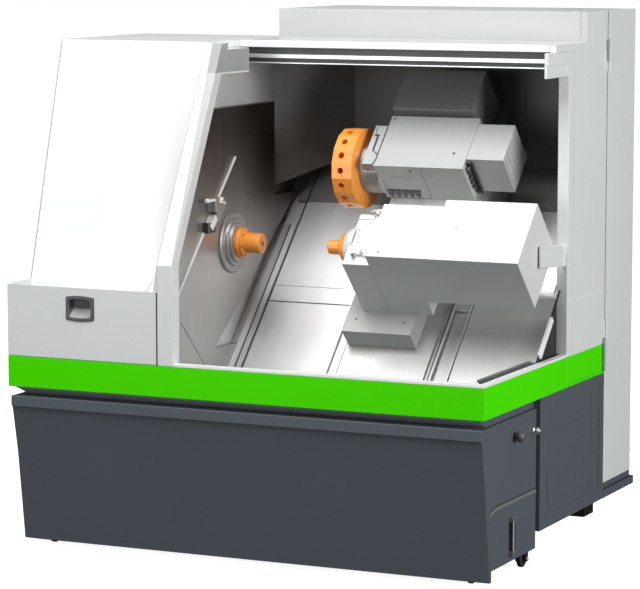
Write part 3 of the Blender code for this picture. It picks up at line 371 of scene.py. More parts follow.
# Colours are linear red, green, blue
finishes = {
    "hoodWhite": paint("hoodWhite", (0.79, 0.80, 0.80), 0.36),
    "sheetWhite": paint("sheetWhite", (0.66, 0.69, 0.68), 0.42),
    # a darker copy of the roof's white for its top, painted shade
    "roofTopPaintedShade": paint("roofTopPaintedShade", (0.60, 0.61, 0.605), 0.42),
    "frontGrey": paint("frontGrey", (0.63, 0.655, 0.65), 0.42),
    "slideWhite": paint("slideWhite", (0.64, 0.65, 0.645), 0.38, dusty=0.03),
    # a darker white: on the carrier and its motor it is painted shade under the roof, and on the counter
    # slide's top a paler grey than the slide, painted light
    "shadedWhiteAndLitGrey": paint("shadedWhiteAndLitGrey", (0.41, 0.42, 0.415), 0.38, dusty=0.03),
    "hoodGrey": paint("hoodGrey", (0.22, 0.225, 0.225), 0.42, dusty=0.0),
    "coverGrey": paint("coverGrey", (0.30, 0.31, 0.312), 0.42, dusty=0.0),
    # a darker copy of the sheet white for the raised fronts, painted shade
    "raisedPaintedShade": paint("raisedPaintedShade", (0.44, 0.45, 0.445), 0.42),
    # a white for the sight glass's strip, a painted highlight
    "glassPaintedHighlight": paint("glassPaintedHighlight", (0.80, 0.81, 0.80), 0.30, dusty=0.0),
    # a grey copy of the white for the bracket's side, painted shade
    "bracketPaintedShade": paint("bracketPaintedShade", (0.33, 0.345, 0.34), 0.45, dusty=0.0),
    # a light grey on the dark base's neck, painted light
    "neckPaintedLight": paint("neckPaintedLight", (0.50, 0.53, 0.56), 0.50, dusty=0.0),
    "wayGrey": paint("wayGrey", (0.17, 0.17, 0.165), 0.50, dusty=0.0),
    # a grey copy of the white for the lean's right part, painted shade
    "leanPaintedShade": paint("leanPaintedShade", (0.46, 0.475, 0.47), 0.42, dusty=0.0),
    "shadeWhite": paint("shadeWhite", (0.49, 0.50, 0.505), 0.40, dusty=0.0),
    "bandGreen": paint("bandGreen", (0.062, 0.67, 0.0005), 0.40, worn=(0.12, 0.60, 0.04), wear=0.25,
                       dusty=0.0, coat=0.0, gloss=0.03),
    "bandLight": paint("bandLight", (0.20, 0.80, 0.08), 0.40, dusty=0.0, coat=0.02, gloss=0.1),
    "bandShade": paint("bandShade", (0.030, 0.36, 0.001), 0.45, dusty=0.0, coat=0.0, gloss=0.05),
    "baseGrey": paint("baseGrey", (0.082, 0.094, 0.112), 0.46, peel=380.0, worn=(0.15, 0.155, 0.16),
                      wear=0.5, dusty=0.03, coat=0.03, bump=0.10, gloss=0.25),
    # a lighter copy of the base paint, painted light on caps and folds
    "basePaintedLight": paint("basePaintedLight", (0.145, 0.158, 0.172), 0.46, dusty=0.0, coat=0.03, gloss=0.25),
    "bushOrange": paint("bushOrange", (0.26, 0.085, 0.018), 0.35, dusty=0.0, coat=0.2),
    "spindleOrange": paint("spindleOrange", (0.87, 0.31, 0.045), 0.33, worn=(0.92, 0.48, 0.18),
                           wear=0.45, dusty=0.02, coat=0.4),
    # bed steel with painted shade: a little darker towards the back, darker towards the bed's low front
    "bedSteel": metal("bedSteel", (0.76, 0.76, 0.755), 0.44, stretch=(420.0, 5.0, 5.0), contrast=0.05,
                      stain=0.08, metallic=0.75,
                      depth={"Back": 0.42, "Front": -0.05, "BackShare": 0.05,
                             "Top": 0.80, "Foot": 1.15, "TopShare": 0.33}),
    # wall plate steel with painted shade, darker towards the back and far more towards the top, in a warm
    # dark that paints the turret's orange reflection
    "wallSteel": metal("wallSteel", (0.48, 0.47, 0.46), 0.36, stretch=(420.0, 420.0, 4.0), contrast=0.05,
                       stain=0.08, metallic=0.80, paintedShadeColour=(0.045, 0.032, 0.026),
                       depth={"Back": 0.22, "Front": -0.45, "BackShare": 0.30,
                              "Top": 1.80, "Foot": 1.10, "TopShare": 0.84}),
    # liner steel with painted shade, darker towards the back
    "linerSteel": metal("linerSteel", (0.80, 0.80, 0.79), 0.42, stretch=(420.0, 420.0, 4.0), contrast=0.04,
                        stain=0.08, metallic=0.55, paintedShadeColour=(0.05, 0.048, 0.046),
                        depth={"Back": 0.46, "Front": -0.15, "BackShare": 1.0, "TopShare": 0.0}),
    # a dark steel for the room's lining, painted shade inside the room, and for the shade painted on the
    # cross slide's top
    "roomSteelInShade": metal("roomSteelInShade", (0.135, 0.133, 0.130), 0.58, stretch=(5.0, 420.0, 420.0), contrast=0.07,
                       metallic=0.15),
    "trackDark": metal("trackDark", (0.075, 0.080, 0.080), 0.40, stretch=(4.0, 300.0, 300.0), contrast=0.10,
                       metallic=0.5),
    "hubSteel": metal("hubSteel", (0.30, 0.295, 0.29), 0.34, stretch=(30.0, 420.0, 420.0), contrast=0.06,
                      metallic=0.6),
    "ringSteel": metal("ringSteel", (0.40, 0.39, 0.385), 0.46, stretch=(700.0, 30.0, 30.0), metallic=0.7),
    # a very dark steel for the liner, painted shade in the room's rear corner
    "cornerSteel": metal("cornerSteel", (0.16, 0.16, 0.158), 0.60, stretch=(420.0, 420.0, 4.0), contrast=0.04,
                         stain=0.08, metallic=0.1),
    # steel for the strip beside the wall, with painted light at its foot and painted shade further back
    "filletSteel": metal("filletSteel", (0.66, 0.66, 0.65), 0.44, stretch=(420.0, 5.0, 5.0), contrast=0.05,
                         stain=0.08, metallic=0.25, paintedShadeColour=(0.06, 0.057, 0.054),
                         depth={"Back": 0.45, "Front": -0.30, "BackShare": 0.7, "TopShare": 0.0}),
    "fittingSteel": metal("fittingSteel", (0.50, 0.49, 0.48), 0.30, stretch=(60.0, 60.0, 300.0),
                          metallic=0.75),
    # steel made nearly white, a painted sheen for the bright line of the rod and pipes
    "rodSteelPaintedSheen": metal("rodSteelPaintedSheen", (0.88, 0.86, 0.83), 0.40, stretch=(60.0, 60.0, 300.0), metallic=0.35),
    "brightSteel": metal("brightSteel", (0.72, 0.72, 0.71), 0.24, stretch=(60.0, 60.0, 300.0)),
    "darkSteel": metal("darkSteel", (0.12, 0.12, 0.125), 0.38, stretch=(200.0, 40.0, 40.0)),
    "railAluminium": metal("railAluminium", (0.78, 0.79, 0.79), 0.36, stretch=(4.0, 300.0, 300.0),
                           stain=0.08),
    # near black, for grooves and joints, and for painted shade in gaps and holes
    "grooveAndShadeDark": moulded("grooveAndShadeDark", (0.020, 0.020, 0.022), 0.55),
    "gripPlastic": moulded("gripPlastic", (0.075, 0.078, 0.080), 0.48),
    # a paler grey of the grip's plastic, painted light on the pull's scoop
    "scoopPaintedLight": moulded("scoopPaintedLight", (0.27, 0.28, 0.28), 0.50),
    "tyreRubber": moulded("tyreRubber", (0.018, 0.018, 0.019), 0.70, grainScale=600.0),
    "gaugePane": clearPane("gaugePane", (0.80, 0.83, 0.82)),
}
print("finishes made:", len(finishes))


# Mesh helpers: a piece is one mesh made of parts, each part with its own finish

def addSolid(piece, loops, finish=0, closed=True):
    # loops of the same number of points joined into a skin, the ends capped
    rows = [[piece.verts.new(point) for point in loop] for loop in loops]
    made = []
    for near, far in zip(rows, rows[1:]):
        for index in range(len(near)):
            after = (index + 1) % len(near)
            made.append(piece.faces.new((near[index], near[after], far[after], far[index])))
    if closed:
        made.append(piece.faces.new(tuple(reversed(rows[0]))))
        made.append(piece.faces.new(tuple(rows[-1])))
    for face in made:
        face.material_index = finish
    bmesh.ops.recalc_face_normals(piece, faces=made)
    return made


def addPrism(piece, frameMatrix, outline, low, high, finish=0, chamfer=0.0):
    # an outline in the facing's own directions, raised from low to high, edge broken by chamfer
    centreX = sum(point[0] for point in outline) / len(outline)
    centreY = sum(point[1] for point in outline) / len(outline)
    spread = max(max(abs(px - centreX), abs(py - centreY)) for px, py in outline)
    shrink = 1 - chamfer / spread if chamfer else 1
    rings = [(low, 1.0), (high - chamfer, 1.0)] + ([(high, shrink)] if chamfer else [])
    loops = []
    for height, scale in rings:
        loops.append([
            frameMatrix @ Vector((centreX + (px - centreX) * scale, centreY + (py - centreY) * scale, height))
            for px, py in outline
        ])
    return addSolid(piece, loops, finish)


def addTurned(piece, frameMatrix, profile, sides=32, finish=0):
    # a profile of (radius, height) pairs turned about the facing's outward line
    loops = []
    for radius, height in profile:
        ring = []
        for index in range(sides):
            angle = 2 * math.pi * index / sides
            ring.append(frameMatrix @ Vector((radius * math.cos(angle), radius * math.sin(angle), height)))
        loops.append(ring)
    return addSolid(piece, loops, finish)


def addTube(piece, points, radius, sides=10, finish=0):
    # a round bar or pipe along straight and bent stretches
    path = [Vector(point) for point in points]
    loops = []
    side = None
    for index, point in enumerate(path):
        before = path[max(index - 1, 0)]
        after = path[min(index + 1, len(path) - 1)]
        along = (after - before).normalized()
        if side is None:
            side = along.orthogonal().normalized()
        side = (side - along * side.dot(along)).normalized()
        other = along.cross(side)
        turns = [2 * math.pi * k / sides for k in range(sides)]
        loops.append([point + (side * math.cos(turn) + other * math.sin(turn)) * radius for turn in turns])
    return addSolid(piece, loops, finish)


def rectangle(x0, y0, x1, y1):
    return [(x0, y0), (x1, y0), (x1, y1), (x0, y1)]


def roundedRectangle(x0, y0, x1, y1, radius, steps=5):
    points = []
    corners = ((x1 - radius, y0 + radius, -90), (x1 - radius, y1 - radius, 0),
               (x0 + radius, y1 - radius, 90), (x0 + radius, y0 + radius, 180))
    for cx, cy, start in corners:
        for step in range(steps + 1):
            angle = math.radians(start + 90 * step / steps)
            points.append((cx + radius * math.cos(angle), cy + radius * math.sin(angle)))
    return points


def disc(cx, cy, radius, sides=20):
    turns = [2 * math.pi * index / sides for index in range(sides)]
    return [(cx + radius * math.cos(turn), cy + radius * math.sin(turn)) for turn in turns]


# Edges look smooth under one angle between their faces and are rounded over the other, in degrees
edgeLook = {"smoothUnder": 22, "roundOver": 28, "segments": 2}


def roundEdges(shown, width):
    # real rounding of every sharp edge, with the flats kept flat in the shading
    rounding = shown.modifiers.new("rounding", "BEVEL")
    rounding.width = width
    rounding.segments = edgeLook["segments"]
    rounding.limit_method = "ANGLE"
    rounding.angle_limit = math.radians(edgeLook["roundOver"])
    rounding.harden_normals = True
    settle(shown)


def settle(shown):
    # what the modifiers make becomes the plain mesh
    view = bpy.context.evaluated_depsgraph_get()
    old = shown.data
    shown.data = bpy.data.meshes.new_from_object(shown.evaluated_get(view), depsgraph=view)
    shown.modifiers.clear()
    bpy.data.meshes.remove(old)


def meshOf(name, piece):
    # the piece as a plain mesh
    mesh = bpy.data.meshes.new(name)
    piece.to_mesh(mesh)
    piece.free()
    return mesh


def linked(name, data):
    # a new object with this data, in the scene
    made = bpy.data.objects.new(name, data)
    bpy.context.collection.objects.link(made)
    return made


def dress(name, piece, body, finishNames, replaced=(), rounded=0.0):
    # the finished piece: smooth where it curves, rounded, riding on its body
    for edge in piece.edges:
        if len(edge.link_faces) == 2:
            edge.smooth = edge.calc_face_angle(0.0) < math.radians(edgeLook["smoothUnder"])
    for face in piece.faces:
        face.smooth = True
    shown = linked(name, meshOf(name, piece))
    for finish in finishNames:
        shown.data.materials.append(finishes[finish])
    if rounded:
        roundEdges(shown, rounded)
    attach(shown, body)
    if replaced:
        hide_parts(*replaced)


# Corners closer than this are one, facets that turn less than this are one face
joining = {"gap": 0.00002, "angle": 0.6}


def fromFrame(node):
    # the node's own mesh, its facets joined again into whole faces
    piece = bmesh.new()
    piece.from_mesh(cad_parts[node].data)
    bmesh.ops.remove_doubles(piece, verts=piece.verts, dist=joining["gap"])
    bmesh.ops.dissolve_limit(piece, angle_limit=math.radians(joining["angle"]), verts=piece.verts,
                             edges=piece.edges)
    for face in piece.faces:
        face.material_index = 0
    return piece


def cutAway(piece, hollow):
    # an exact cut of one mesh from another, both in the same place as the frame
    kept, tool = linked("kept", meshOf("kept", piece)), linked("hollow", meshOf("hollow", hollow))
    for _ in range(8):
        kept.data.materials.append(None)
        tool.data.materials.append(None)
    cutting = kept.modifiers.new("cut", "BOOLEAN")
    cutting.operation = "DIFFERENCE"
    cutting.solver = "EXACT"
    cutting.object = tool
    settle(kept)
    result = bmesh.new()
    result.from_mesh(kept.data)
    for made in (kept, tool):
        mesh = made.data
        bpy.data.objects.remove(made)
        bpy.data.meshes.remove(mesh)
    return result


# Pieces that keep the frame's own shape: body, slot, finishes and edge rounding
frameLooks = {
    "machine_base": ("frame", "dark", ["baseGrey", "neckPaintedLight"], 0.0020),
    "coolant_tank": ("frame", "dark", ["baseGrey"], 0.0025),
    "left_base_panel": ("frame", "dark", ["baseGrey"], 0.0020),
    "right_base_panel": ("frame", "dark", ["baseGrey"], 0.0020),
    "front_band": ("frame", "green", ["bandGreen"], 0.0025),
    "left_band": ("frame", "green", ["bandGreen"], 0.0025),
    "right_band": ("frame", "green", ["bandGreen"], 0.0025),
    "left_housing": ("frame", "white", ["hoodWhite", "linerSteel"], 0.0035),
    "left_pillar": ("frame", "grey", ["frontGrey", "leanPaintedShade", "hoodWhite", "bracketPaintedShade"], 0.0025),
    "right_pillar": ("frame", "grey", ["sheetWhite", "hoodWhite"], 0.0025),
    "right_side_panel": ("frame", "white", ["sheetWhite", "roomSteelInShade", "raisedPaintedShade"], 0.0020),
    "roof_panel": ("frame", "white", ["hoodWhite", "roomSteelInShade", "roofTopPaintedShade"], 0.0020),
    "rear_cabinet": ("frame", "white", ["sheetWhite", "roomSteelInShade", "raisedPaintedShade"], 0.0025),
    "cabinet_door": ("cabinet_door", "white", ["sheetWhite"], 0.0020),
    "sill_track": ("frame", "white", ["hoodWhite"], 0.0015),
    "slant_bed": ("frame", "grey", ["roomSteelInShade", "bedSteel", "grooveAndShadeDark"], 0.0020),
    "bed_cover_left": ("frame", "steel", ["bedSteel"], 0.0012),
    "bed_cover_middle": ("frame", "steel", ["bedSteel"], 0.0012),
    "bed_cover_right": ("frame", "steel", ["bedSteel"], 0.0012),
    "z1_way": ("frame", "dark", ["wayGrey"], 0.0010),
    "spindle_wall_plate": ("frame", "steel", ["wallSteel"], 0.0015),
    "spindle_ring": ("frame", "steel", ["ringSteel"], 0.0010),
    "probe_rail": ("frame", "steel", ["rodSteelPaintedSheen", "fittingSteel"], 0.0010),
    "counter_slide": ("counter_slide", "grey", ["coverGrey", "shadedWhiteAndLitGrey"], 0.0020),
    "counter_housing": ("counter_slide", "white", ["slideWhite", "shadeWhite"], 0.0030),
    "spindle_head": ("counter_slide", "white", ["slideWhite", "spindleOrange", "shadeWhite"], 0.0020),
    "z1_saddle": ("saddle", "steel", ["bedSteel"], 0.0015),
    "x1_slide": ("cross_slide", "steel", ["bedSteel", "roomSteelInShade"], 0.0015),
    "x1_cover": ("cross_slide", "grey", ["hoodGrey"], 0.0020),
    "turret_carrier": ("tool_carrier", "white", ["shadedWhiteAndLitGrey", "hubSteel"], 0.0025),
    "turret_motor": ("tool_carrier", "white", ["shadedWhiteAndLitGrey"], 0.0025),
    "turret_disc": ("turret", "orange", ["spindleOrange"], 0.0012),
    "main_spindle": ("main_spindle", "orange", ["spindleOrange"], 0.0012),
    "counter_spindle": ("counter_spindle", "orange", ["spindleOrange"], 0.0010),
    "parts_drawer": ("drawer", "white", ["frontGrey"], 0.0030),
}
shapes = {node: fromFrame(node) for node in frameLooks}
print("frame shapes taken over:", len(shapes))


def parted(node, point, normal):
    # new edges where a plane meets the shape, so that a finish can change there
    whole = shapes[node]
    bmesh.ops.bisect_plane(whole, geom=whole.verts[:] + whole.edges[:] + whole.faces[:],
                           plane_co=point, plane_no=normal)


def painted(node, finish, test):
    # faces take another of the shape's finishes, by their middle and the way they look
    for face in shapes[node].faces:
        if test(face.calc_center_median(), face.normal):
            face.material_index = finish


# The hood's flare: its long twisted triangles become a fine grid of quads, which curves without streaks
flare = {"reach": 0.6, "triangleReach": 0.5, "left": -0.54, "lineLength": 0.5, "cuts": 9, "near": 0.001}
hood = shapes["left_housing"]
twisted = [face for face in hood.faces if len(face.verts) == 3 and face.normal.y < 0.2
           and face.calc_center_median().y < away(flare["triangleReach"])]
bmesh.ops.join_triangles(hood, faces=twisted, angle_face_threshold=math.pi, angle_shape_threshold=math.pi)


def isRuled(edge):
    # a long line up the flare, at one distance from the machine's side
    one, other = edge.verts[0].co, edge.verts[1].co
    return (edge.calc_length() > flare["lineLength"] and abs(one.z - other.z) > flare["lineLength"]
            and flare["left"] < one.x < wall + flare["near"] and abs(one.x - other.x) < flare["near"]
            and max(one.y, other.y) < away(flare["reach"]))


bmesh.ops.subdivide_edges(hood, edges=[edge for edge in hood.edges if isRuled(edge)], cuts=flare["cuts"],
                          use_grid_fill=True)

# The left rail bracket is trimmed to its shown length, so that the rail starts beside it
bracket = {"end": 0.702, "trimFoot": 1.906, "lip": 1.954, "leanStart": -0.2425, "leanSlope": 0.0465}
trim = bmesh.new()
addPrism(trim, facing("top", Vector((0, 0, 0))), rectangle(left, away(bracket["end"]), wall + 0.2, away(1.0)),
         bracket["trimFoot"], ceiling + 0.02)
shapes["left_pillar"] = cutAway(shapes["left_pillar"], trim)


def isLean(way):
    return way.y < -0.5 and way.z > 0.1


def leanSide(at):
    # below zero on the white left part of the left upright's lean, above it on the right part, painted grey
    # as shade
    return at.x + bracket["leanSlope"] * at.z - bracket["leanStart"]


# Where one shape's finishes meet
finishLines = {"aboveRoof": -0.01, "aboveCeiling": 0.003, "slideShade": 1.70, "collar": 0.016, "hub": 0.085,
               "holder": 0.0085, "jamb": 0.85, "neckFoot": 0.63, "neckTop": 0.68}
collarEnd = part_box("counter_spindle")[1].x + finishLines["collar"]
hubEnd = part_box("turret_disc")[1].x + finishLines["hub"]
for node, point, normal in (
    ("rear_cabinet", (0, 0, roofTop + finishLines["aboveRoof"]), (0, 0, 1)),
    ("right_side_panel", (0, 0, roofTop), (0, 0, 1)),
    ("left_housing", (0, 0, ceiling + finishLines["aboveCeiling"]), (0, 0, 1)),
    ("x1_slide", (0, 0, finishLines["slideShade"]), (0, 0, 1)),
    ("spindle_head", (collarEnd, 0, 0), (1, 0, 0)),
    ("left_pillar", (bracket["leanStart"], 0, 0), (1, 0, bracket["leanSlope"])),
    ("left_pillar", (0, 0, bracket["lip"]), (0, 0, 1)),
):
    parted(node, point, normal)

# Faces that line the work area take its dark steel, painted shade inside the room; then faces with another
# finish, several of them painted light or painted shade
for node, finish, test in (
    ("left_housing", 1, lambda at, way: way.x > 0.5 and at.x > wall - 0.01 and at.z < ceiling),
    ("roof_panel", 1, lambda at, way: way.z < -0.5),
    ("rear_cabinet", 1, lambda at, way: way.y < -0.5 and at.z < roofTop),
    ("right_side_panel", 1, lambda at, way: way.x < -0.5),
    # front faces above the roof take the darker white, painted shade
    ("rear_cabinet", 2, lambda at, way: way.y < -0.5 and at.z > roofTop),
    ("right_side_panel", 2, lambda at, way: way.y < -0.5 and at.z > roofTop),
    # the roof's top faces take the darker white, painted shade
    ("roof_panel", 2, lambda at, way: way.z > 0.5),
    ("probe_rail", 1, lambda at, way: at.x > plateFace + finishLines["holder"]),
    # the right upright's left-looking faces in front of the jamb take the brighter white, painted light where
    # they stand in shade
    ("right_pillar", 1, lambda at, way: way.x < -0.9 and at.y < away(finishLines["jamb"])),
    # the base's downward neck faces take a light grey, painted light where they lie in shade
    ("machine_base", 1, lambda at, way: way.z < -0.3
     and finishLines["neckFoot"] < at.z < finishLines["neckTop"]),
    ("x1_slide", 1, lambda at, way: at.z > finishLines["slideShade"]),
    # the counter slide's top faces take a paler grey than the slide, painted light
    ("counter_slide", 1, lambda at, way: way.dot(outSlope) > 0.9),
    # faces that look down the slope take the darker white, painted shade
    ("counter_housing", 1, lambda at, way: way.dot(upSlope) < -0.9),
    ("spindle_head", 2, lambda at, way: way.dot(upSlope) < -0.9),
    ("spindle_head", 1, lambda at, way: at.x < collarEnd),
    ("slant_bed", 1, lambda at, way: way.dot(outSlope) > 0.9),
    # the bed's right side face is painted near black, painted shade in the gap beside the bed
    ("slant_bed", 2, lambda at, way: way.x > 0.9),
    ("turret_carrier", 1, lambda at, way: at.x < hubEnd and abs(way.x) < 0.9
     and abs(way.dot(outSlope)) < 0.97),
    # the upright's lean: grey on its right part and on the bracket's side, painted shade; white on its left
    # part
    ("left_pillar", 1, lambda at, way: isLean(way)),
    ("left_pillar", 2, lambda at, way: isLean(way) and leanSide(at) < 0),
    ("left_pillar", 3, lambda at, way: at.z > bracket["lip"]
     and (way.x > 0.9 or (way.y < -0.5 and leanSide(at) > 0))),
):
    painted(node, finish, test)

for node, (body, slot, finishNames, width) in frameLooks.items():
    dress("shown_" + node, shapes[node], body, finishNames, replaced=(node,), rounded=width)
for node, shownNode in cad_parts.items():
    if "castor" in node:
        shownNode.material_slots[0].material = finishes["tyreRubber"]
    if "levelling" in node:
        shownNode.material_slots[0].material = finishes["darkSteel"]
print("frame pieces dressed")


# What repeats is made by Geometry Nodes trees and then turned into plain meshes

def newTree(name, inputs):
    tree = bpy.data.node_groups.new(name, "GeometryNodeTree")
    tree.interface.new_socket(name="Geometry", in_out="INPUT", socket_type="NodeSocketGeometry")
    for label, kind in inputs:
        tree.interface.new_socket(name=label, in_out="INPUT", socket_type=kind)
    tree.interface.new_socket(name="Geometry", in_out="OUTPUT", socket_type="NodeSocketGeometry")
    return tree, tree.nodes.new("NodeGroupInput"), tree.nodes.new("NodeGroupOutput")


def endTree(tree, given, result, instances):
    # every tree ends the same way: real geometry with its finish set
    real = addNode(tree, "GeometryNodeRealizeInstances", [(0, instances)])
    coated = addNode(tree, "GeometryNodeSetMaterial", [
        ("Geometry", real.outputs[0]), ("Material", given.outputs["Finish"]),
    ])
    tree.links.new(coated.outputs[0], result.inputs["Geometry"])
    return tree


def makeScatterTree():
    # a shape on each point, turned to the way the point faces, a little off in its roll
    tree, given, result = newTree("fastenerScatter", [
        ("Shape", "NodeSocketObject"), ("Finish", "NodeSocketMaterial"), ("Seed", "NodeSocketInt"),
    ])
    shape = addNode(tree, "GeometryNodeObjectInfo", [("Object", given.outputs["Shape"])])
    way = addNode(tree, "GeometryNodeInputNamedAttribute", [("Name", "facing")], data_type="FLOAT_VECTOR")
    size = addNode(tree, "GeometryNodeInputNamedAttribute", [("Name", "size")], data_type="FLOAT")
    upright = addNode(tree, "FunctionNodeAlignRotationToVector", [("Vector", way.outputs["Attribute"])],
                      axis="Z")
    roll = addNode(tree, "FunctionNodeRandomValue", [("Seed", given.outputs["Seed"])], data_type="FLOAT")
    roll.inputs[2].default_value, roll.inputs[3].default_value = 0.0, math.pi
    turned = addNode(tree, "FunctionNodeRotateRotation", [("Rotation", upright.outputs[0])],
                     rotation_space="LOCAL")
    spin = addNode(tree, "FunctionNodeAxisAngleToRotation", [("Angle", roll.outputs[1])])
    spin.inputs["Axis"].default_value = (0.0, 0.0, 1.0)
    tree.links.new(spin.outputs[0], turned.inputs["Rotate By"])
    copies = addNode(tree, "GeometryNodeInstanceOnPoints", [
        ("Points", given.outputs["Geometry"]), ("Instance", shape.outputs["Geometry"]),
        ("Rotation", turned.outputs[0]), ("Scale", size.outputs["Attribute"]),
    ])
    return endTree(tree, given, result, copies.outputs[0])


def makeRowTree():
    # copies of the incoming shape in a straight row
    tree, given, result = newTree("straightRow", [
        ("Count", "NodeSocketInt"), ("Step", "NodeSocketVector"), ("Finish", "NodeSocketMaterial"),
    ])
    row = addNode(tree, "GeometryNodeMeshLine", [
        ("Count", given.outputs["Count"]), ("Offset", given.outputs["Step"]),
    ], mode="OFFSET")
    copies = addNode(tree, "GeometryNodeInstanceOnPoints", [
        ("Points", row.outputs[0]), ("Instance", given.outputs["Geometry"]),
    ])
    return endTree(tree, given, result, copies.outputs[0])


trees = {"scatter": makeScatterTree(), "row": makeRowTree()}


def grown(name, mesh, treeName, values, body):
    # run a tree on a mesh and keep what it makes as a plain piece
    shown = linked(name, mesh)
    tree = trees[treeName]
    growing = shown.modifiers.new("growing", "NODES")
    growing.node_group = tree
    sockets = {item.name: item.identifier for item in tree.interface.items_tree if item.in_out == "INPUT"}
    for label, value in values.items():
        growing[sockets[label]] = value
    settle(shown)
    shown.data.name = name
    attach(shown, body)


# Socket head cap screw: its outline, the hex socket's size, and its floor
capScrew = {"sides": 24, "outline": ((1.0, -0.10), (1.0, 0.50), (0.90, 0.62), (0.62, 0.62)), "socket": 0.50,
            "floor": 0.16}


def screwShape():
    # a cap screw of radius 1, standing on z = 0
    piece = bmesh.new()
    turns = [2 * math.pi * k / capScrew["sides"] for k in range(capScrew["sides"])]
    loops = []
    for radius, height in capScrew["outline"]:
        loops.append([Vector((radius * math.cos(turn), radius * math.sin(turn), height)) for turn in turns])
    for height in (capScrew["outline"][-1][1], capScrew["floor"]):
        ring = []
        for turn in turns:
            off = turn % (math.pi / 3) - math.pi / 6
            reach = capScrew["socket"] * math.cos(math.pi / 6) / math.cos(off)
            ring.append(Vector((reach * math.cos(turn), reach * math.sin(turn), height)))
        loops.append(ring)
    addSolid(piece, loops)
    return bpy.data.objects.new("screwShape", meshOf("screwShape", piece))


def screwed(name, places, finishName, seed, body):
    # a screw on each of the places, which are (point, facing, size)
    mesh = bpy.data.meshes.new("points")
    mesh.from_pydata([point for point, _, _ in places], [], [])
    mesh.attributes.new("facing", "FLOAT_VECTOR", "POINT")
    mesh.attributes.new("size", "FLOAT", "POINT")
    for index, (_, way, size) in enumerate(places):
        mesh.attributes["facing"].data[index].vector = way
        mesh.attributes["size"].data[index].value = size
    grown(name, mesh, "scatter", {"Shape": screw, "Finish": finishes[finishName], "Seed": seed}, body)


screw = screwShape()


def line(x0, y0, x1, y1, width):
    # the outline of a straight stroke between two places
    along = Vector((x1 - x0, y1 - y0)).normalized()
    aside = Vector((-along.y, along.x)) * width / 2
    ends = (Vector((x0, y0)), Vector((x1, y1)))
    return [tuple(ends[0] - aside), tuple(ends[1] - aside), tuple(ends[1] + aside), tuple(ends[0] + aside)]


# Heights out of the slope of the bed, the slides and the carrier, and how deep a thin detail lies
levels = {"bed": -0.331, "slide": -0.236, "head": 0.071, "counter": 0.131, "carrier": 0.121,
          "carrierFoot": 0.341}
skin = 0.0004
sunk = -0.0012

# Faces that details are laid on, each with its own right, up and outward; on upright ones right is depth
planes = {
    "plate": facing("right", Vector((plateFace, front, 0))),
    "bed": facing("slope", spot(0, 0, levels["bed"])),
    "counterTop": facing("slope", spot(0, 0, levels["counter"])),
    "headTop": facing("slope", spot(0, 0, levels["head"])),
    "slideTop": facing("slope", spot(0, 0, levels["slide"])),
    "carrierTop": facing("slope", spot(0, 0, levels["carrier"])),
    "carrierFront": facing("slopeFoot", spot(0, levels["carrierFoot"], 0)),
    "side": facing("right", Vector((right, front, 0))),
    "tankSide": facing("right", Vector((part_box("coolant_tank")[1].x, front, 0))),
    "front": facing("front", Vector((0, front, 0))),
    "sill": facing("top", Vector((0, front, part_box("sill_track")[1].z))),
    "cabinetTop": facing("top", Vector((0, front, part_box("rear_cabinet")[1].z))),
    "roomBack": facing("front", Vector((0, roomBack, 0))),
    "motorEnd": facing("slopeRight", Vector((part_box("turret_motor")[1].x, axis.y, axis.z))),
}


def stroke(piece, plane, ends, width, finish=0, low=sunk, high=skin):
    addPrism(piece, planes[plane], line(*ends, width), low, high, finish)


def patch(piece, plane, outline, finish=0, low=sunk, high=skin, chamfer=0.0):
    addPrism(piece, planes[plane], outline, low, high, finish, chamfer)


def knob(piece, plane, x, y, profile, finish=0, sides=24):
    addTurned(piece, planes[plane] @ Matrix.Translation((x, y, 0)), profile, sides, finish)


# Left wall: a seam on the plate, then the nozzle block on the probe's rail

plateSeam = {"ends": (0.135, 0.960, 0.353, 0.752), "width": 0.0035}
piece = bmesh.new()
stroke(piece, "plate", plateSeam["ends"], plateSeam["width"])
dress("plateSeams", piece, "frame", ["grooveAndShadeDark"])

nozzles = {
    "reach": 0.036, "pipe": 0.0062, "pipeEnds": ((0.302, 1.4400), (0.441, 1.4366)),
    "holder": (0.368, 1.389, 0.406, 1.444), "holderRise": (0.004, 0.043),
    "clamp": (-0.123, 0.222, -0.059, 0.250), "clampRise": (0.002, 0.034),
    "sensor": (0.330, 1.303, 0.392, 1.346), "sensorRise": (0.001, 0.030),
    "collars": ((0.302, 1.440, 0.0100, 0.008), (0.432, 1.437, 0.0085, 0.006)),
    "hose": 0.0042, "hosePath": ((-0.006, 0.400, 1.428), (0.0, 0.440, 1.424), (0.0, 0.468, 1.418)),
}
nozzleX = plateFace + nozzles["reach"]
piece = bmesh.new()
addTube(piece, [Vector((nozzleX, away(depth), height)) for depth, height in nozzles["pipeEnds"]],
        nozzles["pipe"])
patch(piece, "plate", rectangle(*nozzles["holder"]), 2, *nozzles["holderRise"], 0.003)
addPrism(piece, facing("slopeRight", Vector((plateFace, axis.y, axis.z))), rectangle(*nozzles["clamp"]),
         *nozzles["clampRise"], 0, 0.002)
patch(piece, "plate", rectangle(*nozzles["sensor"]), 1, *nozzles["sensorRise"], 0.003)
for depth, height, radius, half in nozzles["collars"]:
    standing = facing("right", Vector((nozzleX, away(depth), height))) @ Matrix.Rotation(math.pi / 2, 4, "Y")
    addTurned(piece, standing, [(radius * 0.7, -half), (radius, -half * 0.7), (radius, half * 0.7),
                                (radius * 0.7, half)], 18)
hosePath = [Vector((nozzleX + aside, away(depth), height)) for aside, depth, height in nozzles["hosePath"]]
addTube(piece, hosePath, nozzles["hose"])
dress("nozzleBlock", piece, "frame", ["rodSteelPaintedSheen", "darkSteel", "fittingSteel"], rounded=0.0008)

# Door rail: a dark channel with a bright running rib and a thin lower lip

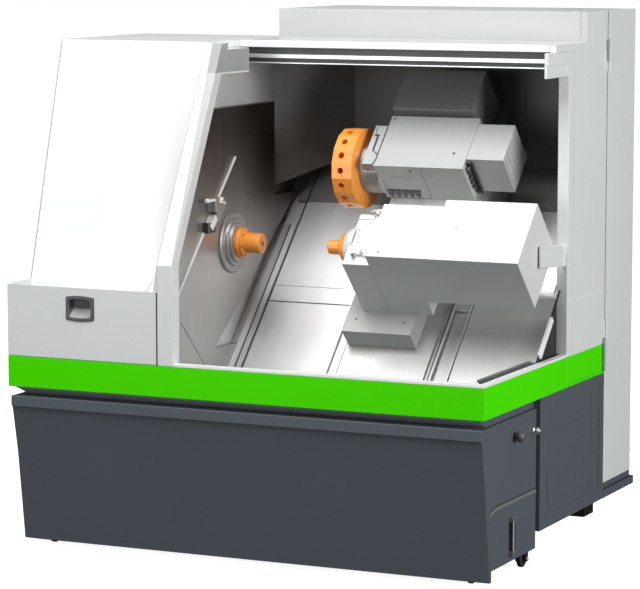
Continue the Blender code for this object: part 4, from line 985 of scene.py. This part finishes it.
rail = {"pastLeft": 0.034, "channel": 0.012, "ribDepth": 0.020, "rib": (2.0031, 2.0186), "lip": 0.0045,
        "grooveDepth": (0.006, 0.014), "grooves": ((2.0300, 2.0330), (1.9930, 1.9950))}
railLow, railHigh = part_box("door_rail")
railFace = railLow.y
profiles = [(railFace + rail["channel"], railLow.z + 0.003, railHigh.y, railHigh.z, 0),
            (railFace, rail["rib"][0], railFace + rail["ribDepth"], rail["rib"][1], 1),
            (railFace + 0.002, railLow.z, railHigh.y, railLow.z + rail["lip"], 1)]
for foot, head in rail["grooves"]:
    profiles.append((railFace + rail["grooveDepth"][0], foot, railFace + rail["grooveDepth"][1], head, 0))
piece = bmesh.new()
for y0, z0, y1, z1, finish in profiles:
    addPrism(piece, facing("right", Vector((0, 0, 0))), rectangle(y0, z0, y1, z1),
             railLow.x - rail["pastLeft"], railHigh.x, finish)
dress("shown_door_rail", piece, "frame", ["trackDark", "railAluminium"], replaced=("door_rail",),
      rounded=0.0008)

# Sill: the door's dark running track on the side, and the low lip inside it

sill = {"left": 0.053, "right": 0.026, "frontLeft": 0.070, "frontRight": 0.045, "rear": 0.905,
        "lip": (0.064, 0.062, 0.055), "lipHeight": 0.0070}
piece = bmesh.new()
patch(piece, "sill", [(right - sill["left"], sill["frontLeft"]), (right - sill["right"], sill["frontRight"]),
                      (right - sill["right"], sill["rear"]), (right - sill["left"], sill["rear"])],
      0, -0.004, 0.0006)
dress("sideTrack", piece, "frame", ["trackDark"])
piece = bmesh.new()
lipLeft, lipFront, lipRight = sill["lip"]
patch(piece, "sill", rectangle(right - lipLeft, lipFront, right - lipRight, sill["rear"]), 0, -0.002,
      sill["lipHeight"], 0.001)
dress("trackLip", piece, "frame", ["railAluminium"], rounded=0.0006)

# Foot of the wall below its plate, down to the base

wallFoot = {"foot": 0.676, "head": 0.812, "front": 0.020, "rear": 0.520, "rearAtHead": 0.656, "thick": 0.030,
            "lift": 0.0003}
piece = bmesh.new()
patch(piece, "plate", [(wallFoot["front"], wallFoot["foot"]), (wallFoot["rear"], wallFoot["foot"]),
                       (wallFoot["rearAtHead"], wallFoot["head"]), (wallFoot["front"], wallFoot["head"])],
      0, -wallFoot["thick"], wallFoot["lift"])
dress("wallFoot", piece, "frame", ["wallSteel"])

# A folded liner closes the room's rear left corner

liner = {"front": 1.075, "right": -0.118, "foot": 1.440, "footAtRight": 1.560, "half": 0.001, "edge": 0.002,
         "inset": 0.004}
across = Vector((liner["right"] - wall, roomBack - liner["inset"] - away(liner["front"]), 0))
linerWidth = across.length
across.normalize()
folded = Matrix((across, Vector((0, 0, 1)), across.cross(Vector((0, 0, 1))))).transposed().to_4x4()
folded = Matrix.Translation((wall + 0.0006, away(liner["front"]), 0)) @ folded
piece = bmesh.new()
addPrism(piece, folded, [(0.0, liner["foot"]), (linerWidth, liner["footAtRight"]),
                         (linerWidth, ceiling - liner["edge"]), (0.0, ceiling - liner["edge"])],
         -liner["half"], liner["half"])
# the liner's steel is painted very dark, painted shade deep in the corner
dress("cornerLiner", piece, "frame", ["cornerSteel"])

# Bed: grooves, the guide rails between its covers, and the trims of its edges

bed = {
    "foot": -0.405, "head": 0.975, "stripHead": 0.372, "flush": 0.0002, "railHead": 0.184,
    "acrossLeft": -0.2560,
    "across": ((0.0400, 0.0022, 0.1180), (-0.0450, 0.0060, 0.1180), (0.5050, 0.0035, 0.9400)),
    "cornerStrip": (0.0010, -0.2990), "leftRail": (-0.2880, -0.2660, 0.0065),
    "rails": ((0.5815, 0.5905, 0.0090), (0.6555, 0.6615, 0.0060)),
    "scale": (0.5930, -0.039, 0.6540, -0.003), "grip": (1.0165, -0.256, 1.0275, -0.060),
}
piece = bmesh.new()
for x, width, foot, head, finish in (
    (-0.2935, 0.0105, bed["foot"], bed["stripHead"], 1), (-0.2610, 0.0080, bed["foot"], bed["head"], 0),
    (0.1680, 0.0025, bed["foot"], -0.060, 0), (0.5760, 0.0085, bed["foot"], bed["head"], 0),
    (0.6640, 0.0040, bed["foot"], bed["head"], 0), (1.0120, 0.0080, -0.330, 0.100, 0),
):
    stroke(piece, "bed", (x, foot, x, head), width, finish, sunk, bed["flush"])
for up, width, end in bed["across"]:
    stroke(piece, "bed", (bed["acrossLeft"], up, end, up), width, 0, sunk, bed["flush"])
dress("bedGrooves", piece, "frame", ["grooveAndShadeDark", "darkSteel"])

piece = bmesh.new()
# a strip on the bed beside the wall, pale at its foot and darkening back, painted light and shade
start, end = bed["cornerStrip"]
patch(piece, "bed", rectangle(plateFace + start, bed["foot"], end, bed["stripHead"]), 3, sunk, bed["flush"])
start, end, rise = bed["leftRail"]
patch(piece, "bed", rectangle(start, bed["foot"], end, bed["stripHead"]), 0, sunk, rise, 0.0010)
for start, end, rise in bed["rails"]:
    patch(piece, "bed", rectangle(start, bed["foot"], end, bed["railHead"]), 0, sunk, rise, 0.0008)
patch(piece, "bed", rectangle(*bed["scale"]), 1, sunk, 0.0030, 0.0006)
patch(piece, "bed", roundedRectangle(*bed["grip"], 0.004), 2, sunk, 0.0240, 0.0020)
dress("bedRails", piece, "frame", ["bedSteel", "brightSteel", "hoodWhite", "filletSteel"],
      rounded=0.0006)
print("bed and wall details made")

# Counter spindle: nozzles, guard strip and small holes on its head and housing

counterHead = {
    "guard": (0.2450, 0.094, 0.3200, 0.120), "blocks": ((0.291, -0.086), (0.312, 0.128)),
    "blockSize": (0.020, 0.010),
    "pipes": (
        (((0.303, -0.086, 0.083), (0.319, -0.090, 0.092), (0.335, -0.094, 0.092), (0.349, -0.100, 0.084)),
         0.0045, 10, 1),
        (((0.285, -0.094, 0.078), (0.277, -0.102, 0.086), (0.283, -0.110, 0.090)), 0.0060, 12, 1),
        (((0.335, -0.074, 0.080), (0.345, -0.070, 0.088), (0.356, -0.078, 0.080)), 0.0035, 10, 2),
        (((0.320, 0.128, 0.088), (0.306, 0.126, 0.092), (0.292, 0.124, 0.084)), 0.0045, 10, 0),
    ),
    "plug": (0.328, 0.132, 0.086),
    "plugOutline": ((0.007, -0.004), (0.007, 0.020), (0.009, 0.021), (0.009, 0.030)),
    "holes": (("headTop", 0.262, 0.040, 0.0028), ("headTop", 0.270, 0.006, 0.0028),
              ("headTop", 0.300, 0.078, 0.0024), ("headTop", 0.276, -0.024, 0.0028),
              ("counterTop", 0.400, 0.156, 0.0022), ("counterTop", 0.709, 0.019, 0.0030),
              ("counterTop", 0.560, 0.148, 0.0024),
              ("slideTop", 0.222, -0.185, 0.0045), ("slideTop", 0.436, -0.190, 0.0045)),
}
piece = bmesh.new()
patch(piece, "headTop", rectangle(*counterHead["guard"]), 0, -0.002, 0.0030, 0.0008)
long, half = counterHead["blockSize"]
for x, up in counterHead["blocks"]:
    patch(piece, "headTop", roundedRectangle(x, up - half, x + long, up + half, 0.004),
          1, -0.002, 0.0180, 0.0020)
for points, radius, sides, finish in counterHead["pipes"]:
    addTube(piece, [spot(*point) for point in points], radius, sides, finish)
addTurned(piece, facing("slopeRight", spot(*counterHead["plug"])), counterHead["plugOutline"], 16)
dress("counterNozzles", piece, "counter_slide", ["slideWhite", "brightSteel", "darkSteel"],
      rounded=0.0006)
# holes drawn as flat dark discs, painted shade for their insides
piece = bmesh.new()
for plane, x, up, radius in counterHead["holes"]:
    patch(piece, plane, disc(x, up, radius, 12))
dress("counterHoles", piece, "counter_slide", ["grooveAndShadeDark"])

# Turret: a bush in each socket, and the screws beside it

stations = {
    "count": 16, "bushAlong": 0.0445, "bushSides": 24, "sink": 0.0012,
    "bush": ((0.0150, 0.0006), (0.0150, 0.0022), (0.0136, 0.0022), (0.0130, -0.012), (0.0150, -0.012)),
    "screws": ((0.0145, 0.0, 0.0022), (0.0700, 0.0, 0.0022), (0.0830, 0.004, 0.0030),
               (0.0520, -0.021, 0.0030)),
}
discLow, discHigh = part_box("turret_disc")
flatReach = (discHigh.z - discLow.z) / 2
stationScrews = []
piece = bmesh.new()
for station in range(stations["count"]):
    turn = 2 * math.pi * station / stations["count"]
    outward = Vector((0, math.sin(turn), math.cos(turn)))
    sideways = Vector((0, math.cos(turn), -math.sin(turn)))
    middle = (discLow + discHigh) / 2
    centre = Vector((discLow.x, middle.y, middle.z)) + outward * (flatReach - stations["sink"])
    for x, aside, size in stations["screws"]:
        stationScrews.append((centre + Vector((x, 0, 0)) + sideways * aside, outward, size))
    matrix = Matrix((Vector((1, 0, 0)), sideways, outward)).transposed().to_4x4()
    matrix = Matrix.Translation(centre + Vector((stations["bushAlong"], 0, 0))) @ matrix
    rings = []
    for radius, height in stations["bush"]:
        turns = [2 * math.pi * k / stations["bushSides"] for k in range(stations["bushSides"])]
        rings.append([matrix @ Vector((radius * math.cos(angle), radius * math.sin(angle), height))
                      for angle in turns])
    addSolid(piece, rings + [rings[0]], 0, closed=False)
bmesh.ops.remove_doubles(piece, verts=piece.verts, dist=0.00001)
dress("stationBushes", piece, "turret", ["spindleOrange"])
screwed("stationScrews", stationScrews, "bushOrange", 3, "turret")

# Carrier: seams, the tool changer's teeth, cover plates over the hub

carrierLines = {
    "seams": (((0.449, -0.078, 0.449, 0.118), 0.0016), ((0.252, -0.078, 0.449, -0.078), 0.0016),
              ((0.300, 0.052, 0.400, 0.052), 0.0012)),
    "slot": (0.262, -0.034, 0.412, -0.026),
}
piece = bmesh.new()
for ends, width in carrierLines["seams"]:
    stroke(piece, "carrierFront", ends, width)
patch(piece, "carrierFront", rectangle(*carrierLines["slot"]), 0, sunk, 0.0005)
dress("carrierSeams", piece, "tool_carrier", ["grooveAndShadeDark"])

teeth = {"count": 5, "step": 0.030, "height": 0.0045,
         "outline": ((0.266, -0.058), (0.277, -0.074), (0.285, -0.060), (0.288, -0.034), (0.282, -0.026),
                     (0.268, -0.026), (0.262, -0.040))}
piece = bmesh.new()
patch(piece, "carrierFront", teeth["outline"], 0, sunk, teeth["height"], 0.0010)
grown("changerTeeth", meshOf("tooth", piece), "row",
      {"Count": teeth["count"], "Step": (teeth["step"], 0.0, 0.0), "Finish": finishes["gripPlastic"]},
      "tool_carrier")

hubCovers = {
    "lower": ((0.192, 0.346), (0.236, 0.346), (0.243, 0.372), (0.243, 0.400), (0.216, 0.420), (0.216, 0.500),
              (0.196, 0.500), (0.192, 0.470)),
    "upper": ((0.220, 0.425), (0.243, 0.405), (0.243, 0.552), (0.202, 0.552), (0.202, 0.506), (0.220, 0.506)),
    "rise": (0.0024, 0.0034, 0.0037), "lineWidth": 0.0036,
    "lines": ((0.222, 0.424, 0.222, 0.507), (0.222, 0.507, 0.204, 0.507), (0.204, 0.507, 0.204, 0.550),
              (0.192, 0.344, 0.236, 0.344), (0.237, 0.346, 0.245, 0.372), (0.245, 0.372, 0.245, 0.552),
              (0.243, 0.400, 0.216, 0.421), (0.216, 0.421, 0.214, 0.500), (0.214, 0.501, 0.196, 0.501)),
}
lowerRise, upperRise, lineRise = hubCovers["rise"]
piece = bmesh.new()
patch(piece, "carrierTop", hubCovers["lower"], 0, -0.003, lowerRise, 0.0008)
patch(piece, "carrierTop", hubCovers["upper"], 0, -0.003, upperRise, 0.0008)
# dark lines round the covers' edges, painted shade beside the raised covers
for ends in hubCovers["lines"]:
    stroke(piece, "carrierTop", ends, hubCovers["lineWidth"], 1, sunk, lineRise)
dress("hubCovers", piece, "tool_carrier", ["shadedWhiteAndLitGrey", "darkSteel"], rounded=0.0005)

# Fittings in the gap before the motor, and the louvres on the motor's end

motorGap = {
    "up": 0.385, "plate": (0.6395, -0.076, 0.662, 0.112), "sockets": ((0.643, 0.060, 0.658, 0.095, 0.022),
                                                                     (0.643, 0.022, 0.656, 0.050, 0.018)),
    "bolts": (0.088, 0.072, 0.040, 0.008, -0.020), "boltX": 0.650,
    "boltOutline": ((0.0052, -0.006), (0.0052, 0.014), (0.0038, 0.017)), "cable": 0.0042,
    "cablePath": ((0.650, 0.372, 0.060), (0.652, 0.366, 0.030), (0.650, 0.368, -0.010),
                  (0.652, 0.374, -0.060)),
}
gapPlane = facing("slopeFoot", spot(0, motorGap["up"], 0))
piece = bmesh.new()
addPrism(piece, gapPlane, rectangle(*motorGap["plate"]), -0.008, 0.006, 0, 0.0015)
for *outline, rise in motorGap["sockets"]:
    addPrism(piece, gapPlane, roundedRectangle(*outline, 0.004), 0.006, rise, 1, 0.0015)
for out in motorGap["bolts"]:
    addTurned(piece, gapPlane @ Matrix.Translation((motorGap["boltX"], out, 0.010)),
              motorGap["boltOutline"], 14, 1)
addTube(piece, [spot(*point) for point in motorGap["cablePath"]], motorGap["cable"])
dress("motorFittings", piece, "tool_carrier", ["grooveAndShadeDark", "darkSteel"], rounded=0.0006)

louvres = {"count": 5, "step": 0.0355, "outline": (0.403, -0.066, 0.423, 0.108), "height": 0.0022}
piece = bmesh.new()
patch(piece, "motorEnd", rectangle(*louvres["outline"]), 0, -0.002, louvres["height"], 0.0010)
grown("motorLouvres", meshOf("louvre", piece), "row",
      {"Count": louvres["count"], "Step": tuple(upSlope * louvres["step"]),
       "Finish": finishes["shadedWhiteAndLitGrey"]}, "tool_carrier")
print("spindle and turret details made")

# Seams on the room's rear wall

roomSeams = {"width": 0.003, "ends": ((-0.118, 1.68, -0.118, ceiling - 0.005), (0.679, 1.504, 0.955, 1.504),
                                      (0.679, 1.504, 0.679, ceiling - 0.005))}
piece = bmesh.new()
for ends in roomSeams["ends"]:
    stroke(piece, "roomBack", ends, roomSeams["width"])
dress("roomSeams", piece, "frame", ["grooveAndShadeDark"])

# Recessed pull: a bowed frame around a scoop that rises towards the back

pull = {
    "loops": ((0.0, 0.006, 0.008, -0.012), (0.0, 0.006, 0.008, 0.0015), (0.002, 0.006, 0.007, 0.0035),
              (0.012, 0.005, 0.010, 0.0035), (0.014, 0.005, 0.009, 0.0010)),    # inset, bow, corner, height
    "scoop": (0.015, 0.005, 0.009), "footRise": 0.034, "headDrop": 0.004, "taper": 0.94, "depth": 0.025,
    "bowSteps": 10,
    "paleDepth": (0.002, 0.020), "paleTop": 0.004, "paleSide": 0.022,
}
pullLow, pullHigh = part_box("drawer_handle")
pullMiddle = (pullLow + pullHigh) / 2
pullHalf = (pullHigh - pullLow) / 2


def pullOutline(inset, bow, corner):
    # a rounded rectangle whose top and foot bow outward
    halfX, halfZ = pullHalf.x - inset, pullHalf.z - inset
    points = roundedRectangle(-halfX, -halfZ, halfX, halfZ, corner, 4)
    bowed = []
    for index, (px, pz) in enumerate(points):
        nextX = points[(index + 1) % len(points)][0]
        bowed.append((px, pz))
        if abs(nextX - px) > halfX:
            for step in range(1, pull["bowSteps"]):
                bowed.append((px + (nextX - px) * step / pull["bowSteps"], pz))
    return [(px, pz + math.copysign(bow * (1 - (px / halfX) ** 2), pz)) for px, pz in bowed]


pullPlane = facing("front", Vector((pullMiddle.x, pullLow.y, pullMiddle.z)))
loops = []
for inset, bow, corner, height in pull["loops"]:
    loops.append([pullPlane @ Vector((px, pz, height)) for px, pz in pullOutline(inset, bow, corner)])
scoop = []
for px, pz in pullOutline(*pull["scoop"]):
    rise = pz + pull["footRise"] if pz < 0 else pz - pull["headDrop"]
    scoop.append(pullPlane @ Vector((px * pull["taper"], rise, -pull["depth"])))
piece = bmesh.new()
addSolid(piece, loops + [scoop], 0, closed=False)
piece.faces.new(piece.verts[-len(scoop):])
bmesh.ops.recalc_face_normals(piece, faces=piece.faces[:])
# the scoop's lower faces take the paler grey, painted light from above
near, far = pull["paleDepth"]
for panel in piece.faces:
    at = panel.calc_center_median() - pullMiddle
    if (near < at.y + pullHalf.y < far and len(panel.verts) == 4 and at.z < -pull["paleTop"]
            and abs(at.x) < pullHalf.x - pull["paleSide"]):
        panel.material_index = 1
dress("shown_drawer_handle", piece, "drawer", ["gripPlastic", "scoopPaintedLight"],
      replaced=("drawer_handle",))

# Right side: sheet seam, band seam and line, creases of the base panel

sideLines = {"sheet": (0.9080, 1.029, 1.3480, 1.029), "sheetWidth": 0.0045,
             "bandDepth": 0.9130, "bandWidth": 0.0030,
             "lineEnds": (0.9160, 1.3540), "lineRise": 0.012, "lineWidth": 0.0022,
             "creases": ((0.727, 0.179, 1.147, 0.179), (0.696, 0.376, 0.727, 0.179)), "creaseWidth": 0.0030,
             "creaseDepth": (-0.0090, -0.0055)}
# the sheet's seam is drawn in a brighter white than the sheet, a painted highlight along it
piece = bmesh.new()
stroke(piece, "side", sideLines["sheet"], sideLines["sheetWidth"])
dress("sheetSeam", piece, "frame", ["hoodWhite"])
# the band's seam in a lighter green, a painted highlight
piece = bmesh.new()
depth = sideLines["bandDepth"]
stroke(piece, "side", (depth, bandBottom + 0.001, depth, bandTop - 0.001), sideLines["bandWidth"])
dress("bandSeam", piece, "frame", ["bandLight"])
# a line of darker green low on the band, painted shade
piece = bmesh.new()
height = bandBottom + sideLines["lineRise"]
start, end = sideLines["lineEnds"]
stroke(piece, "side", (start, height, end, height), sideLines["lineWidth"])
dress("bandLine", piece, "frame", ["bandShade"])
# dark lines along the base panel's creases, painted shade in them
piece = bmesh.new()
for ends in sideLines["creases"]:
    stroke(piece, "side", ends, sideLines["creaseWidth"], 0, *sideLines["creaseDepth"])
dress("panelCreases", piece, "frame", ["darkSteel"])

# Tank: lock knob, fill fitting, sight glass, folded crease

tankKnob = {"depth": 0.352, "height": 0.561,
            "outline": ((0.0130, -0.002), (0.0130, 0.012), (0.0200, 0.016), (0.0225, 0.026), (0.0195, 0.0370),
                        (0.0110, 0.0430), (0.0020, 0.0445))}
piece = bmesh.new()
knob(piece, "tankSide", tankKnob["depth"], tankKnob["height"], tankKnob["outline"], 0, 32)
dress("tankKnob", piece, "frame", ["gripPlastic"])

fitting = {"depth": 0.560, "height": 0.552,
           "nut": ((0.0150, -0.002), (0.0150, 0.006), (0.0110, 0.009), (0.0110, 0.015), (0.0150, 0.016),
                   (0.0150, 0.0240), (0.0100, 0.0260)),
           "tip": ((0.0070, 0.020), (0.0070, 0.030), (0.0050, 0.0315))}
piece = bmesh.new()
knob(piece, "tankSide", fitting["depth"], fitting["height"], fitting["nut"], 0, 6)
knob(piece, "tankSide", fitting["depth"], fitting["height"], fitting["tip"], 0, 20)
dress("tankFitting", piece, "frame", ["railAluminium"], rounded=0.0006)

glass = {"depth": 0.318, "bottom": 0.098, "top": 0.240, "half": 0.0180,
         "cap": (0.008, 0.014), "capHeight": 0.019,
         "guards": ((-0.0165, -0.0110), (0.0110, 0.0165)), "guardHeight": 0.0150, "backHalf": 0.0112,
         "stripHalf": 0.0045, "tube": 0.0070, "tubeOut": 0.0090, "tubeEnd": 0.010}
depth, bottom, top = glass["depth"], glass["bottom"], glass["top"]
outer, inner = glass["cap"]
piece = bmesh.new()
# the caps take the lighter copy of the base paint, painted light
for low, high in ((bottom - outer, bottom + inner), (top - inner, top + outer)):
    patch(piece, "tankSide", roundedRectangle(depth - glass["half"], low, depth + glass["half"], high, 0.003),
          2, sunk, glass["capHeight"], 0.0020)
for near, far in glass["guards"]:
    patch(piece, "tankSide", rectangle(depth + near, bottom, depth + far, top), 0, sunk, glass["guardHeight"])
half = glass["backHalf"]
patch(piece, "tankSide", rectangle(depth - half, bottom, depth + half, top), 0, sunk, 0.0015)
# a white strip behind the tube, a painted highlight on the glass
half = glass["stripHalf"]
patch(piece, "tankSide", rectangle(depth - half, bottom + inner, depth + half, top - inner), 1, sunk, 0.0025)
dress("sightGlassFrame", piece, "frame", ["grooveAndShadeDark", "glassPaintedHighlight", "basePaintedLight"], rounded=0.0005)
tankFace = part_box("coolant_tank")[1].x
piece = bmesh.new()
addTube(piece, [Vector((tankFace + glass["tubeOut"], away(depth), height))
                for height in (bottom + glass["tubeEnd"], top - glass["tubeEnd"])], glass["tube"], 16)
dress("sightGlassTube", piece, "frame", ["gaugePane"])

# The tank's fold: a band of the base's lighter paint, a painted highlight along the fold, and a dark line
# just above it, painted shade in the crease
# Each of its strokes is a width, a lift, a finish and a height
tankCrease = {"points": ((0.084, 0.289), (0.159, 0.306), (0.594, 0.303)),
              "strokes": ((0.0140, 0.0, 0, 0.0016), (0.0050, 0.0095, 1, 0.0010))}
piece = bmesh.new()
for width, lift, finish, high in tankCrease["strokes"]:
    for (x0, y0), (x1, y1) in zip(tankCrease["points"], tankCrease["points"][1:]):
        stroke(piece, "tankSide", (x0, y0 + lift, x1, y1 + lift), width, finish, sunk, high)
dress("tankCrease", piece, "frame", ["basePaintedLight", "grooveAndShadeDark"], rounded=0.0004)

# Castor forks: two cheeks and an axle bolt at each wheel

fork = {"cheek": 0.004, "gap": 0.003, "head": 0.078,
        "bolt": ((0.0085, -0.001), (0.0085, 0.010), (0.0060, 0.012)),
        "footHalf": 0.014, "headHalf": 0.026, "drop": 0.012}
piece = bmesh.new()
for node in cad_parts:
    if "castor" not in node:
        continue
    low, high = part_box(node)
    middle = (low + high) / 2
    outline = [(middle.y - fork["footHalf"], middle.z - fork["drop"]),
               (middle.y + fork["footHalf"], middle.z - fork["drop"]),
               (middle.y + fork["headHalf"], fork["head"]), (middle.y - fork["headHalf"], fork["head"])]
    for side, way in ((-1, "left"), (1, "right")):
        cheek = middle.x + side * ((high.x - low.x) / 2 + fork["gap"])
        addPrism(piece, facing("right", Vector((cheek, 0, 0))), outline, min(0, side * fork["cheek"]),
                 max(0, side * fork["cheek"]))
        addTurned(piece, facing(way, Vector((cheek, middle.y, middle.z))), fork["bolt"], 6, 1)
dress("castorForks", piece, "frame", ["darkSteel", "ringSteel"], rounded=0.0006)

# Joint lines beside the drawer and the cabinet's door, and the door's hinge pins

doorEdge = {"drawerLine": 0.0055, "doorDepth": 1.3665, "doorLine": 0.0060, "pinIn": 0.003, "pin": 0.0050,
            "pins": ((1.3430, 0.684, 0.826), (1.3525, 1.988, 2.081))}
piece = bmesh.new()
stroke(piece, "front", (wall - 0.002, bandTop + 0.001, wall - 0.002, ledge - 0.002), doorEdge["drawerLine"])
depth = doorEdge["doorDepth"]
stroke(piece, "side", (depth, bandTop + 0.002, depth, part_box("cabinet_door")[1].z), doorEdge["doorLine"])
dress("jointLines", piece, "frame", ["grooveAndShadeDark"])
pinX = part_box("right_side_panel")[1].x - doorEdge["pinIn"]
piece = bmesh.new()
for depth, low, high in doorEdge["pins"]:
    addTube(piece, [Vector((pinX, away(depth), low)), Vector((pinX, away(depth), high))], doorEdge["pin"], 12)
dress("hingePins", piece, "frame", ["coverGrey"])

# Edge trim down the hood's left side

hoodTrim = {"path": ((-0.855, 1.0950), (-0.695, 1.0950), (-0.4125, 2.0760), (0.330, 2.0760)),
            "radius": 0.0018, "out": 0.0012}
piece = bmesh.new()
addTube(piece, [Vector((left + hoodTrim["out"], y, z)) for y, z in hoodTrim["path"]], hoodTrim["radius"], 8)
dress("hoodEdge", piece, "frame", ["coverGrey"])

# Screws on the frame, the main spindle's flange, the counter spindle and the carrier

screws = {
    "plate": ((0.639, 1.569, 0.0042), (0.789, 1.423, 0.0042)),
    "ring": (0.0035, 0.088, 20, 0.0048), "flange": (-0.2617, 0.050, 30, 0.0042),    # x, radius, start, size
    "count": 6, "glassSize": 0.0050,
    "counter": ((0.312, 0.108, 0.073), (0.336, 0.056, 0.070), (0.338, -0.006, 0.070), (0.414, -0.118, 0.130)),
    "counterSize": 0.0040,
    "carrier": ((0.211, 0.3425, 0.092, -upSlope, 0.0042), (0.401, 0.341, 0.095, -upSlope, 0.0042),
                (0.579, 0.421, 0.121, outSlope, 0.0050), (0.262, 0.598, 0.121, outSlope, 0.0036),
                (0.224, 0.3425, 0.030, -upSlope, 0.0042)),
}
outward = Vector((1, 0, 0))


def circled(x, radius, start, size):
    # screws in a circle about the spindle line, in the plane at x
    made = []
    for index in range(screws["count"]):
        angle = math.radians(start + 360 * index / screws["count"])
        made.append((spot(x, radius * math.cos(angle), radius * math.sin(angle)), outward, size))
    return made


places = [(Vector((plateFace - 0.001, away(depth), height)), outward, size)
          for depth, height, size in screws["plate"]]
ringOut, *ringRest = screws["ring"]
places += circled(plateFace + ringOut, *ringRest)
for height in (glass["bottom"] + 0.002, glass["top"] - 0.002):
    places.append((Vector((tankFace + glass["capHeight"] - 0.0005, away(glass["depth"]), height)), outward,
                   screws["glassSize"]))
screwed("frameScrews", places, "darkSteel", 5, "frame")
screwed("flangeScrews", circled(*screws["flange"]), "darkSteel", 11, "main_spindle")
screwed("counterScrews", [(spot(*point), outSlope, screws["counterSize"]) for point in screws["counter"]],
        "darkSteel", 7, "counter_slide")
screwed("carrierScrews", [(spot(*point), way, size) for *point, way, size in screws["carrier"]],
        "darkSteel", 9, "tool_carrier")
bpy.data.objects.remove(screw)

# Rear cabinet: top slot

cabinetSlot = {"ends": (0.789, 1.500, 0.985, 1.594), "width": 0.010}
piece = bmesh.new()
stroke(piece, "cabinetTop", cabinetSlot["ends"], cabinetSlot["width"])
dress("cabinetSlot", piece, "frame", ["grooveAndShadeDark"])
print("outer details made")


# Floor, light and camera

studio = {
    "floorReach": 40.0, "floorGlow": 0.90, "floorBounce": 0.10, "sky": 0.12,
    "lamps": (    # name, place, target, width, height, power
        ("frontPanel", (-2.2, -8.7, 2.1), (0.0, 0.0, 1.2), 4.0, 3.0, 205.0),
        ("topPanel", (-0.4, -3.2, 6.9), (0.0, -0.1, 1.2), 4.0, 4.0, 540.0),
        ("rightPanel", (7.3, -1.3, 2.3), (0.5, 0.0, 1.2), 3.5, 3.0, 430.0),
    ),
    "cameraPlace": (5.1022, -11.1185, 2.5324), "cameraTurn": (82.893, 0.0, 24.886),
    "lens": 164.56, "sensor": 36.0,
}


def stageFloor():
    # the far floor shows plain white, while its near part still takes the machine's shadow
    made, tree, shader = newFinish("studioFloor", Roughness=0.9, Base_Color=(0.82, 0.82, 0.82, 1.0))
    glow = addNode(tree, "ShaderNodeEmission", [("Strength", studio["floorGlow"])])
    lit = addNode(tree, "ShaderNodeAddShader", [(0, shader.outputs[0]), (1, glow.outputs[0])])
    dim = addNode(tree, "ShaderNodeBsdfDiffuse", [("Color", (*[studio["floorBounce"]] * 3, 1.0))])
    rays = addNode(tree, "ShaderNodeLightPath")
    seen = addNode(tree, "ShaderNodeMixShader", [
        (0, rays.outputs["Is Camera Ray"]), (1, dim.outputs[0]), (2, lit.outputs[0]),
    ])
    tree.links.new(seen.outputs[0], tree.nodes["Material Output"].inputs["Surface"])
    piece = bmesh.new()
    reach = studio["floorReach"]
    piece.faces.new([piece.verts.new((*corner, 0.0)) for corner in rectangle(-reach, -reach, reach, reach)])
    floor = linked("studioFloor", meshOf("studioFloor", piece))
    floor.data.materials.append(made)


def softPanel(name, location, target, width, height, power):
    lamp = bpy.data.lights.new(name, "AREA")
    lamp.shape = "RECTANGLE"
    lamp.size, lamp.size_y = width, height
    lamp.energy = power
    made = linked(name, lamp)
    made.location = location
    made.rotation_euler = (Vector(location) - Vector(target)).to_track_quat("Z", "Y").to_euler()


def studioSky():
    # a dim even sky that shows white behind the machine
    world = bpy.data.worlds.new("studioSky")
    bpy.context.scene.world = world
    world.use_nodes = True
    tree = world.node_tree
    ambient = tree.nodes["Background"]
    ambient.inputs["Color"].default_value = (*[studio["sky"]] * 3, 1.0)
    white = addNode(tree, "ShaderNodeBackground", [("Strength", 1.0), ("Color", (1.0, 1.0, 1.0, 1.0))])
    rays = addNode(tree, "ShaderNodeLightPath")
    seen = addNode(tree, "ShaderNodeMixShader", [
        (0, rays.outputs["Is Camera Ray"]), (1, ambient.outputs[0]), (2, white.outputs[0]),
    ])
    tree.links.new(seen.outputs[0], tree.nodes["World Output"].inputs["Surface"])


stageFloor()
studioSky()
for lamp in studio["lamps"]:
    softPanel(*lamp)
lens = bpy.data.cameras.new("photoLens")
lens.lens = studio["lens"]
lens.sensor_width = studio["sensor"]
lens.sensor_fit = "HORIZONTAL"
lens.clip_end = 200.0
camera = linked("photoCamera", lens)
camera.location = studio["cameraPlace"]
camera.rotation_euler = [math.radians(angle) for angle in studio["cameraTurn"]]
bpy.context.scene.camera = camera
bpy.context.scene.view_settings.view_transform = "Standard"
print("studio made")
